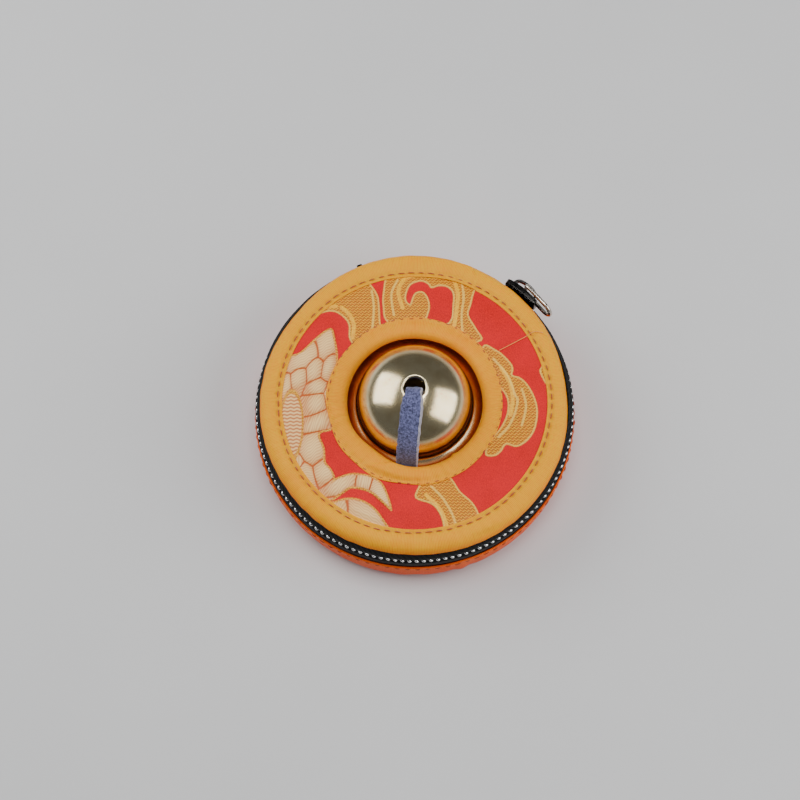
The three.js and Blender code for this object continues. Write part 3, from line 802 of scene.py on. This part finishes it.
def lid_binding():
    outline = spline(
        [[BINDING_R - 0.4, 22.0], [BINDING_R, 22.12], [BINDING_R - 0.1, 22.4], [22.3, 22.4],
         [21, 22.62], [19.6, 22.6], [18.65, 22.15], [18.15, 21.3], [HOLE_R, 20.4], [18.25, 19.9],
         [19.1, 19.7], [22.0, 19.66], [22.2, 19.8], [19.3, 20.0], [18.95, 20.6], [18.95, 21.4],
         [19.5, 22.0], [21, 22.04]],
        4, closed=True,
    )
    points, faces, corners = swept(outline, segments=960, shape=binding_shape)
    strip = make("hole_binding", points, faces, "lid", BINDING_SATIN, corners, ["lid_hole_binding"])


def lining_disc(name, inner, outer, low, high, body, node_name):
    """A flat lining with a slight ripple."""
    rows = np.linspace(inner, outer, 12)
    outline = [[r, high] for r in rows] + [[r, low] for r in rows[::-1]]

    def shape(turn, out, height):
        wave = 0.05 * ripple(turn, 31, 3, 9) * np.sin(np.pi * (out - inner) / (outer - inner))
        return out, height + wave

    points, faces, corners = swept(outline, segments=240, shape=shape)
    return make(name, points, faces, body, LINING, corners, [node_name])


def wall_lining(name, outline, body, node_name, seed):
    """A ring of lining from its section, with a slight ripple."""
    def shape(turn, out, height):
        return out + 0.08 * ripple(turn, seed, 5, 18), height

    points, faces, corners = swept(spline(outline, 3, closed=True), segments=360, shape=shape)
    return make(name, points, faces, body, LINING, corners, [node_name])


def lid():
    panel = brocade_disc("lid_brocade", 19.3, PANEL_R, LID_TOP - 0.05, 0.5, "lid", "lid_outer_panel", 0.3)
    lid_side_band()
    lid_binding()
    stitches("lid_edge_stitches", STITCH_R, LID_TOP + 0.5, STITCH_PITCH, "lid", wander=0.12, seed=5)
    stitches("hole_stitches", BINDING_R - 0.2, LID_TOP + 0.32, 2.5, "lid", wander=0.08, seed=9)
    lining = lining_disc("lid_lining", 19.4, LINING_R - 0.1, 20.0, 20.35, "lid", "lid_lining_panel")
    outline = [[38.5, 17.1], [38.9, 17.1], [38.9, 18.5], [38.9, 19.7], [38.5, 19.7], [38.5, 18.5]]
    wall_lining("lid_edge_lining", outline, "lid", "lid_wall_lining", 33)
    route = [(22.6, 13.8, 22.7), (25.8, 15.5, 22.85), (29.2, 17.4, 22.75), (31.9, 19.0, 22.85),
             (34.4, 18.7, 22.8)]
    loose = spline(route, 8)
    turn = math.radians(VIEW_TURN)
    spun = np.stack([loose[:, 0] * math.cos(turn) - loose[:, 1] * math.sin(turn),
                     loose[:, 0] * math.sin(turn) + loose[:, 1] * math.cos(turn), loose[:, 2]], -1)
    points, faces = tube(spun, 0.1, 6)
    make("loose_gold_thread", points, faces, "lid", GOLD_THREAD)
    recover("lid_stiffener_board", BOARD)


# ---- base ------------------------------------------------------------------------------------------
PUCKER_AT = 294.0


def base_band_shape(turn, out, high):
    """The wall's slack: low waves, gathers where it turns under, and one pucker at the front."""
    low = smooth_step(high, 5, 1)
    tall = smooth_step(high, BAND_TOP, 6)
    outside = smooth_step(out, 39.5, 41.5)
    pucker = hump(turn, PUCKER_AT, 5) * np.cos(np.radians(away(turn, PUCKER_AT)) * 45)
    bulge = 0.16 * ripple(turn, 41, 3, 10) + 0.1 * ripple(turn, 42, 18, 45) * low
    out = out + outside * tall * (bulge + 0.3 * pucker - 0.1)
    return out, high + 0.25 * hump(turn, PUCKER_AT, 5) * outside * smooth_step(high, 9, BAND_TOP)


def base():
    wall = spline(
        [[36.3, 0.02], [39.6, 0.02], [41.4, 0.5], [42.6, 2.0], [43.05, 4.5], [WALL_R - 0.1, 7.5],
         [43.1, BAND_TOP - 0.5], [42.95, BAND_TOP], [42.7, BAND_TOP], [42.55, BAND_TOP - 0.6],
         [42.5, 7], [42.1, 4], [41.1, 1.9], [39.2, 0.95], [36.3, 0.85]],
        4, closed=True,
    )
    wall[:, 1] = np.maximum(wall[:, 1], 0)
    points, faces, corners = swept(wall, segments=960, shape=base_band_shape)
    nodes = ["base_side_band"]
    band = make("base_satin_wall", points, faces, "case_base", WALL_SATIN_PAINTED_SHADE, corners, nodes)
    panel = brocade_disc("base_brocade", 0.0001, 35.9, 0.82, 0.2, "case_base", "base_outer_panel", 0, -1.0)
    stitches("wall_stitches", WALL_R - 0.1, BAND_TOP - 0.9, STITCH_PITCH, "case_base", seed=13, outward=True)
    lining = lining_disc("base_lining", 0.01, 38.3, 2.4, 2.85, "case_base", "base_lining_panel")
    outline = [[38.5, 2.5], [38.95, 2.5], [38.95, 8], [38.95, 12.9], [39.4, 13.32], [40.5, 13.35],
               [40.55, 13.55], [39.2, 13.65], [38.65, 13.4], [38.5, 12.8], [38.5, 8]]
    lining = wall_lining("base_inner_lining", outline, "case_base", "base_wall_lining", 43)
    outline = spline(ring_outline(39.2, 40.4, 2.5, 13.2, 0.5), 3, closed=True)
    points, faces, corners = swept(outline, segments=240)
    make("wall_wadding", points, faces, "case_base", WADDING, corners, ["base_wall_padding"])
    recover("base_stiffener_board", BOARD)


HINGE_FROM, HINGE_TO = 64.5, 115.5


def hinge_gusset():
    """One strip of satin from inside the wall to inside the lid's band, on no body."""
    outside = [[42.2, 8.2], [42.25, 10], [42.3, 11.5], [42.05, 14], [41.7, 16.5], [41.4, 18], [41.15, 19.2]]
    inside = [[40.7, 19.2], [40.95, 18], [41.25, 16.5], [41.6, 14], [41.85, 11.5], [41.8, 10], [41.75, 8.2]]
    outline = np.concatenate([spline(outside, 5), spline(inside, 5)])

    def shape(turn, out, height):
        crossing = np.exp(-(((height - ZIP_Z) / 2.2) ** 2))
        return out + 0.12 * crossing * ripple(turn, 51, 20, 50) - 0.15 * crossing, height

    points, faces, corners = swept(outline, HINGE_FROM, HINGE_TO, 160, shape)
    nodes = ["hinge_gusset_lower", "hinge_gusset_upper"]
    strip = make("hinge_strip", points, faces, None, WALL_SATIN_PAINTED_SHADE, corners, nodes)
    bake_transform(strip)


# ---- zip -------------------------------------------------------------------------------------------
LOWER_TEETH = (119.4, 360 + 61.8)
UPPER_TEETH = (119.4, 360 + 46.3)
TOOTH_PITCH = 1.87
TOOTH_WIRE = 0.27
TOOTH_SIDES = 7
STEPS_PER_TURN = 16
COIL_MIDDLE_R = 42  # radius at which the pitch is measured


def coil(name, azimuths, side, body, node_name, start_share):
    """One row of coil teeth: a flattened helix of monofilament. Side is -1 for the lower row, else 1.

    The coil is turned inwards, so the tapes cover it. Its heads show in the slit; the lower row's heads get a
    bright metal finish as painted glints.
    """
    start, end = azimuths
    turns = math.radians(end - start) * COIL_MIDDLE_R / TOOTH_PITCH
    steps = int(turns * STEPS_PER_TURN)
    t = np.arange(steps + 1) / STEPS_PER_TURN + start_share
    turn = np.radians(start) + (t - start_share) * TOOTH_PITCH / COIL_MIDDLE_R
    swing = TAU * t
    tall = np.cos(swing)
    r = 41.45 + 0.36 * np.sign(np.sin(swing)) * np.abs(np.sin(swing)) ** 0.6
    r = r + (0.7 if side < 0 else 0.3) * np.clip(tall, 0, 1) ** 2
    z = ZIP_Z + side * (1.02 - 1.0 * np.sign(tall) * np.abs(tall) ** 0.8)
    turn = turn + 0.008 * np.sin(swing)
    path = np.stack([r * np.cos(turn), r * np.sin(turn), z], -1)
    wire = TOOTH_WIRE * (1 + (0.2 if side > 0 else 0.6) * np.clip(tall, 0, 1) ** 4)
    points, faces = tube(path, wire, TOOTH_SIDES)
    row = make(name, points, faces, body, NYLON, replaces=[node_name])
    row.data.materials.append(COIL_HEAD_PAINTED_GLINT)
    # The lower row's heads take the bright metal finish as painted glints.
    painted_glint_heads = np.repeat((tall > 0.8) & (side < 0), TOOTH_SIDES)[: TOOTH_SIDES * (len(path) - 1)]
    row.data.polygons.foreach_set("material_index", painted_glint_heads.astype(int).tolist() + [0, 0])


TAPE_THICK = 0.42


def tape(name, face, azimuths, body, node_name):
    """A woven tape, from its sewn edge to the edge that rounds over the coil."""
    outline = spline(face + [[out - TAPE_THICK, high] for out, high in face[::-1]], 4, closed=True)

    def shape(turn, out, height):
        return out + 0.04 * ripple(turn, 61, 12, 40), height

    points, faces, corners = swept(outline, *azimuths, 720, shape)
    make(name, points, faces, body, TAPE, corners, [node_name])


def block(name, azimuth, half, inner, outer, low, high, body, nodes, round_by):
    """A bent plate on the case's wall with rounded edges."""
    turns = np.radians(azimuth + half * np.linspace(-1, 1, 7))
    points, faces = [], []
    for turn in turns:
        for r, z in ((inner, low), (outer, low), (outer, high), (inner, high)):
            points.append([r * math.cos(turn), r * math.sin(turn), z])
    for i in range(6):
        for j in range(4):
            a, b = 4 * i + j, 4 * i + (j + 1) % 4
            faces.append([a, b, b + 4, a + 4])
    faces += [[0, 1, 2, 3], [24, 25, 26, 27]]
    bevel(make(name, points, faces, body, GUNMETAL, replaces=nodes, smooth=False), round_by)


def bevel(piece, width):
    """Rounds every sharp edge of a small piece."""
    rounding = piece.modifiers.new("Rounding", "BEVEL")
    rounding.width = width * MM
    rounding.segments = 3
    rounding.limit_method = "ANGLE"
    rounding.harden_normals = False
    piece.data.polygons.foreach_set("use_smooth", [True] * len(piece.data.polygons))
    normals = piece.modifiers.new("Normals", "WEIGHTED_NORMAL")
    normals.keep_sharp = False


def slider():
    """The slider: two plates joined by a blade, with the bridge for the pull."""
    half_plate = 3.1
    outline = [(-5.1, -2.2), (-4.3, -2.9), (0.5, -half_plate), (3.6, -2.5), (5.1, -1.5), (5.1, 1.5),
               (3.6, 2.5), (0.5, half_plate), (-4.3, 2.9), (-5.1, 2.2)]
    for label, inner, outer, shrink, nodes in (
        ("slider_front_plate", 43.1, 44.3, 1.0, ["slider_body"]),
        ("slider_back_plate", 39.55, 40.25, 0.85, []),
    ):
        line = spline(outline, 3, closed=True) * shrink
        points = []
        for r in (inner, outer):
            for u, z in line:
                turn = math.radians(SLIDER_AT) + u / 43.5
                points.append([r * math.cos(turn), r * math.sin(turn), ZIP_Z + z])
        n = len(line)
        faces = [[i, (i + 1) % n, n + (i + 1) % n, n + i] for i in range(n)]
        faces += [list(range(n)), list(range(n, 2 * n))]
        plate = make(label, points, faces, "zip_slider", GUNMETAL, replaces=nodes)
        bevel(plate, 0.22)
    for label, low, high in (("slider_lower_rim", -3.1, -2.55), ("slider_upper_rim", 2.55, 3.1)):
        block(label, SLIDER_AT, 5.2, 42.8, 43.2, ZIP_Z + low, ZIP_Z + high, "zip_slider", [], 0.12)
    block("slider_blade", SLIDER_AT + 5, 1.5, 40.2, 43.2, ZIP_Z - 0.22, ZIP_Z + 0.22, "zip_slider", [], 0.08)
    arch = spline([(44.2, -3.5), (45.4, -3.3), (46.3, -2.3), (46.6, 0), (46.3, 2.3), (45.4, 3.3),
                   (44.2, 3.5)], 5)
    turn = math.radians(SLIDER_AT)
    outward = np.array([math.cos(turn), math.sin(turn), 0])
    along = np.array([-math.sin(turn), math.cos(turn), 0])
    centre = np.array([0, 0, ZIP_Z])
    path = [centre + r * outward + u * along for r, u in arch]
    points, faces = bar(path, 0.8, 0.3)
    nodes = ["slider_crown"]
    crown = make("slider_crown_bridge", points, faces, "zip_slider", GUNMETAL, replaces=nodes)
    bevel(crown, 0.15)


def bar(path, half_wide, half_thick):
    """A flat bar whose width is along Z, along a path in a level plane."""
    path = np.asarray(path, float)
    tangent = np.gradient(path, axis=0)
    tangent /= np.linalg.norm(tangent, axis=1)[:, None]
    up = np.array([0.0, 0.0, 1.0])
    normal = np.cross(tangent, up)
    points = []
    for p, n in zip(path, normal):
        for w, t in ((-1, -1), (1, -1), (1, 1), (-1, 1)):
            points.append(p + up * w * half_wide + n * t * half_thick)
    faces = []
    for i in range(len(path) - 1):
        for j in range(4):
            a, b = 4 * i + j, 4 * i + (j + 1) % 4
            faces.append([a, b, b + 4, a + 4])
    last = 4 * (len(path) - 1)
    return points, faces + [[0, 1, 2, 3], [last, last + 1, last + 2, last + 3]]


def pull():
    """The wire loop that the zip is pulled by: its near bar turns under the slider's bridge."""
    pivot_r, wire, half, reach, swing = 45.5, 0.6, 2.6, 9.7, -7.0
    turn = math.radians(SLIDER_AT)
    outward = np.array([math.cos(turn), math.sin(turn), 0])
    along = np.array([-math.sin(turn), math.cos(turn), 0])
    lean = math.radians(swing)
    away_along = -along * math.cos(lean) + outward * math.sin(lean)
    corner_r = 0.9
    line = []
    for k in range(7):
        a = math.radians(180 + 90 * k / 6)
        line.append((corner_r + corner_r * math.cos(a), -half + corner_r + corner_r * math.sin(a)))
    for k in range(13):
        a = math.radians(-90 + 180 * k / 12)
        line.append((reach - half + half * math.cos(a), half * math.sin(a)))
    for k in range(7):
        a = math.radians(90 + 90 * k / 6)
        line.append((corner_r + corner_r * math.cos(a), half - corner_r + corner_r * math.sin(a)))
    start = np.array([0, 0, ZIP_Z]) + pivot_r * outward
    path = [start + d * away_along + np.array([0, 0, h]) for d, h in line]
    points, faces = tube(path, wire, 12, closed=True)
    make("pull_loop", points, faces, "zip_pull", NICKEL, replaces=["pull_ring"])


def zip_fastener():
    base_tape, lid_tape = (HINGE_TO + 0.3, 360 + HINGE_FROM - 0.3), (HINGE_TO + 3.7, 360 + 46.5)
    lower_face = [[42.1, 8.1], [42.25, 10], [42.4, 11.7], [42.62, 13.2], [42.7, ZIP_Z - 1.8],
                  [42.66, ZIP_Z - 0.9], [42.35, ZIP_Z - 0.42]]
    upper_face = [[42.0, ZIP_Z + 0.45], [42.15, ZIP_Z + 0.9], [42.1, ZIP_Z + 1.6], [41.8, ZIP_Z + 2.2],
                  [41.3, LIP_Z - 0.1], [41.05, LIP_Z + 0.5]]
    tape("base_zip_tape", lower_face, base_tape, "case_base", "zip_tape_lower")
    tape("lid_zip_tape", upper_face, lid_tape, "lid", "zip_tape_upper")
    coil("base_zip_teeth", LOWER_TEETH, -1, "case_base", "zip_coil_lower", 0.0)
    coil("lid_zip_teeth", UPPER_TEETH, 1, "lid", "zip_coil_upper", 0.5)
    stops = (("bottom_stop", 117.8, 1.0, 2.35, 0.3), ("top_stop", 63.05, 0.7, -0.35, 0.25))
    for name, azimuth, half, high, round_by in stops:
        nodes = ["zip_" + name]
        block(name, azimuth, half, 41.3, 42.95, ZIP_Z - 2.35, ZIP_Z + high, "case_base", nodes, round_by)
    slider()
    pull()


# ---- cymbals ---------------------------------------------------------------------------------------
BELL_R, BELL_RISE, WIDEST = 15.2, 12.2, 7.2
BELL_WALL, BRIM, CORD_HOLE_R = 1.9, 3.2, 2.7


def arc(centre_r, centre_z, half_r, half_z, start, end, steps):
    """Points on part of an ellipse, in degrees."""
    angles = np.radians(np.linspace(start, end, steps + 1))
    return [[centre_r + half_r * math.cos(a), centre_z + half_z * math.sin(a)] for a in angles]


def cymbal(name, base_z, node_name):
    """A cast cymbal with a rounded rim, a cove at the bell's foot and a bevelled strap hole."""
    inside_r, mouth_top = BELL_R - BELL_WALL, 7.4
    inside_rise = BELL_RISE + WIDEST - BELL_WALL - mouth_top
    top = WIDEST + BELL_RISE
    hole_from = math.degrees(math.acos((CORD_HOLE_R + 0.55) / BELL_R))
    outline = arc(33.9, 0.6, 0.6, 0.6, 270, 360, 5) + arc(33.9, BRIM - 0.6, 0.6, 0.6, 0, 90, 6)
    outline += [[30, 3.28], [26, 3.4], [22, 3.6], [20.2, 3.8], [19, 4.0]]
    cove = [[18, 4.34], [17, 4.79], [16.2, 5.15], [15.7, 5.42], [15.42, 5.78], [15.27, 6.2], [BELL_R, 6.8]]
    outline += spline(cove, 3).tolist()
    outline += arc(0, WIDEST, BELL_R, BELL_RISE, 0, hole_from, 30)
    outline += [[CORD_HOLE_R + 0.42, top - 0.3], [CORD_HOLE_R + 0.15, top - 0.42], [CORD_HOLE_R, top - 0.75]]
    mouth_from = math.degrees(math.acos(CORD_HOLE_R / inside_r))
    outline += arc(0, mouth_top, inside_r, inside_rise, mouth_from, 0, 14)
    outline += arc(19.4, mouth_top, 19.4 - inside_r, mouth_top - 0.6, 180, 270, 10)[1:]
    outline = np.array(outline) + [0, base_z]
    points, faces, corners = swept(outline, segments=256)
    make(name, points, faces, "cymbals", BELL, corners, [node_name])


# ---- strap -----------------------------------------------------------------------------------------
STRAP_WIDE, STRAP_NECK, STRAP_THICK = 5.8, 4.4, 1.3
OUTER_AT, INNER_AT, COIL_Z = 270.0, 236.0, 10.3
OFF_METAL = STRAP_THICK / 2 + 0.2


def level(azimuth):
    return np.array([math.cos(math.radians(azimuth)), math.sin(math.radians(azimuth)), 0])


UPRIGHT = np.array([0.0, 0.0, 1.0])


def station(azimuth, out, height, across, width=STRAP_WIDE):
    """One station of the strap: its middle, and half its width as a vector."""
    return np.concatenate([level(azimuth) * out + UPRIGHT * height, across * width / 2])


def down_bell(azimuth, cymbal_z, across, lowest, lift=0.0):
    """The strap from its knot, up through a cymbal's hole and down the outside of the bell."""
    top = cymbal_z + WIDEST + BELL_RISE
    neck = [(0.7, top - 3.1), (0.75, top - 0.4), (1.9, top + 1.1)]
    off = OFF_METAL + lift
    outside = arc(0, cymbal_z + WIDEST, BELL_R + off, BELL_RISE + off, 71, lowest, 4)
    first = [station(azimuth, r, z, across, STRAP_NECK) for r, z in neck]
    return first + [station(azimuth, r, z, across) for r, z in outside]


def strap_stations():
    """The CAD strap's route, but lifted and twisted a little where it lies on the upper bell."""
    across_outer, across_inner = level(OUTER_AT + 90), level(INNER_AT - 90)
    over_brim = [(17.2, 19.5), (19.6, 18.85), (26, 18.55), (33, 18.35)]
    off_brim = [(35.8, 17.5), (36.5, 15.6), (35.4, 12.6), (32.6, 11)]
    into_coil = [(282, 29.6, 45), (294, 28.4, 80)]
    out_of_coil = [(558, 25.6, 100), (575, 25, 130), (589, 23.4, 165)]

    def twisted(azimuth, r, twist):
        across = level(OUTER_AT + 90 if azimuth < 360 else INNER_AT + 90) * math.cos(math.radians(twist))
        return station(azimuth, r, COIL_Z, across + UPRIGHT * math.sin(math.radians(twist)))

    return (
        down_bell(OUTER_AT, UPPER_CYMBAL_Z, (across_outer + 0.22 * UPRIGHT) / 1.024, 12, 0.4)
        + [station(OUTER_AT, r, z, across_outer) for r, z in over_brim + off_brim]
        + [twisted(*at) for at in into_coil]
        + [station(312 + i * 36, 28.2 - i * 0.3, COIL_Z, UPRIGHT) for i in range(7)]
        + [twisted(*at) for at in out_of_coil]
        + [station(INNER_AT, 20.6, 10.2, across_inner), station(INNER_AT, 17.2, 11.4, across_inner)]
        + down_bell(INNER_AT, LOWER_CYMBAL_Z, across_inner, 27)[::-1]
    )


def strap():
    """A suede strip with soft rounded arrises. Only its right-hand cut edge and its ends are paler; the
    left-hand cut edge keeps the dark suede colour as painted shade.
    """
    line = spline(strap_stations(), 14)
    count = len(line)
    middle, across = line[:, :3], line[:, 3:]
    tangent = np.gradient(middle, axis=0)
    tangent /= np.linalg.norm(tangent, axis=1)[:, None]
    half = np.linalg.norm(across, axis=1)[:, None]
    side = across - tangent * (across * tangent).sum(1)[:, None]
    side /= np.linalg.norm(side, axis=1)[:, None]
    up = np.cross(side, tangent)
    along = np.linspace(0, TAU, count)[:, None]
    half = half + 0.1 * ripple(along, 71, 30, 90) - 0.05
    wide = [-0.86, -0.5, 0, 0.5, 0.86, 1.0, 1.0, 0.86, 0.5, 0, -0.5, -0.86, -1.0, -1.0]
    thick = [-1.0, -1.0, -1.0, -1.0, -1.0, -0.7, 0.7, 1.0, 1.0, 1.0, 1.0, 1.0, 0.7, -0.7]
    sides = len(wide)
    rows = []
    for w, t in zip(wide, thick):
        nap = 1 + 0.05 * ripple(along, int(80 + 10 * w + t), 40, 120)
        rows.append(middle + side * half * w + up * (STRAP_THICK / 2 - 0.04) * t * nap)
    points = np.stack(rows, 1).reshape(-1, 3)
    faces, _, j = lattice(count - 1, count, sides)
    # The pale cut edge is real; the left-hand cut edge is left dark as painted shade.
    on_edge = np.isin(j, (4, 5, 6)).reshape(-1)
    ends = [list(range(sides)), list(range((count - 1) * sides, count * sides))]
    strip = make("suede_strap", points, faces + ends, "cymbals", SUEDE, replaces=["strap"])
    strip.data.materials.append(SUEDE_EDGE)
    strip.data.polygons.foreach_set("material_index", on_edge.astype(int).tolist() + [1, 1])


def knot(name, cymbal_z, azimuth, node_name):
    """The strap's end tied in an overhand knot inside a bell."""
    t = np.linspace(0, TAU, 120, endpoint=False)
    size = 0.62
    x, y, z = (np.sin(t) + 2 * np.sin(2 * t)), (np.cos(t) - 2 * np.cos(2 * t)), -np.sin(3 * t)
    centre = np.array([0, -0.7, cymbal_z + WIDEST + BELL_RISE - 3.35 - 2.7 * 0.9])
    spun = level(azimuth)
    turned = np.stack([x * spun[0] - y * spun[1], x * spun[1] + y * spun[0], z * 1.3], -1)
    points, faces = tube(centre + turned * size, 0.82, 10, closed=True)
    make(name, points, faces, "cymbals", SUEDE, replaces=[node_name])


# ---- studio ----------------------------------------------------------------------------------------
def area_light(name, place, target, size, power, colour=(1, 1, 1)):
    light = bpy.data.lights.new(name, "AREA")
    light.shape = "RECTANGLE"
    light.size, light.size_y = size
    light.energy = power
    light.color = colour
    lamp = bpy.data.objects.new(name, light)
    lamp.location = place
    lamp.rotation_euler = (Vector(target) - Vector(place)).to_track_quat("-Z", "Y").to_euler()
    bpy.context.scene.collection.objects.link(lamp)


def studio():
    """A plain pale floor, and soft lights to the left, to the right and overhead."""
    mesh = bpy.data.meshes.new("floor")
    work = bmesh.new()
    bmesh.ops.create_grid(work, x_segments=8, y_segments=8, size=3)
    work.to_mesh(mesh)
    work.free()
    floor = bpy.data.objects.new("floor", mesh)
    pale, tree, shader = finish("pale_floor", (0.62, 0.62, 0.62), 0.75)
    mottle = noise(tree, solid_at(tree, 0.02), detail=4)
    tree.links.new(mixed(tree, mottle, (0.6, 0.6, 0.6), (0.65, 0.65, 0.65)), shader.inputs["Base Color"])
    mesh.materials.append(pale)
    bpy.context.scene.collection.objects.link(floor)
    middle = (0, 0, 0.02)
    area_light("left_softbox", (-0.48, 0.14, 0.38), middle, (0.52, 0.5), 3.0)
    area_light("right_softbox", (0.5, -0.02, 0.36), middle, (0.52, 0.5), 3.0)
    area_light("top_fill", (0, 0.05, 0.75), middle, (0.3, 0.3), 2.6)
    world = bpy.data.worlds.new("soft_room")
    world.use_nodes = True
    world.node_tree.nodes["Background"].inputs[0].default_value = (0.75, 0.78, 0.82, 1)
    world.node_tree.nodes["Background"].inputs[1].default_value = 0.18
    bpy.context.scene.world = world


def camera():
    """Looks down on the case at the angle of the photograph, with the case a little below the middle."""
    elevation, distance = math.radians(VIEW_ELEVATION), 0.4586
    turn = math.radians(VIEW_TURN)
    level_share, up_share = math.cos(elevation), math.sin(elevation)
    back = Vector((math.sin(turn) * level_share, -math.cos(turn) * level_share, up_share))
    lens = bpy.data.cameras.new("camera")
    lens.sensor_width = 36
    lens.lens = 78
    lens.clip_start = 0.01
    eye = bpy.data.objects.new("camera", lens)
    target = Vector((0, 0, LID_TOP * MM))
    aim = back.to_track_quat("Z", "Y").to_matrix().to_4x4()
    eye.matrix_world = Matrix.Translation(target + back * distance) @ aim
    lens.shift_x, lens.shift_y = -0.0184, 0.0004
    bpy.context.scene.collection.objects.link(eye)
    bpy.context.scene.camera = eye


camera()
studio()
lid()
base()
hinge_gusset()
zip_fastener()
cymbal("upper_bell_cymbal", UPPER_CYMBAL_Z, "cymbal_upper")
cymbal("lower_bell_cymbal", LOWER_CYMBAL_Z, "cymbal_lower")
strap()
knot("upper_overhand_knot", UPPER_CYMBAL_Z, OUTER_AT, "knot_upper")
knot("lower_overhand_knot", LOWER_CYMBAL_Z, INNER_AT, "knot_lower")
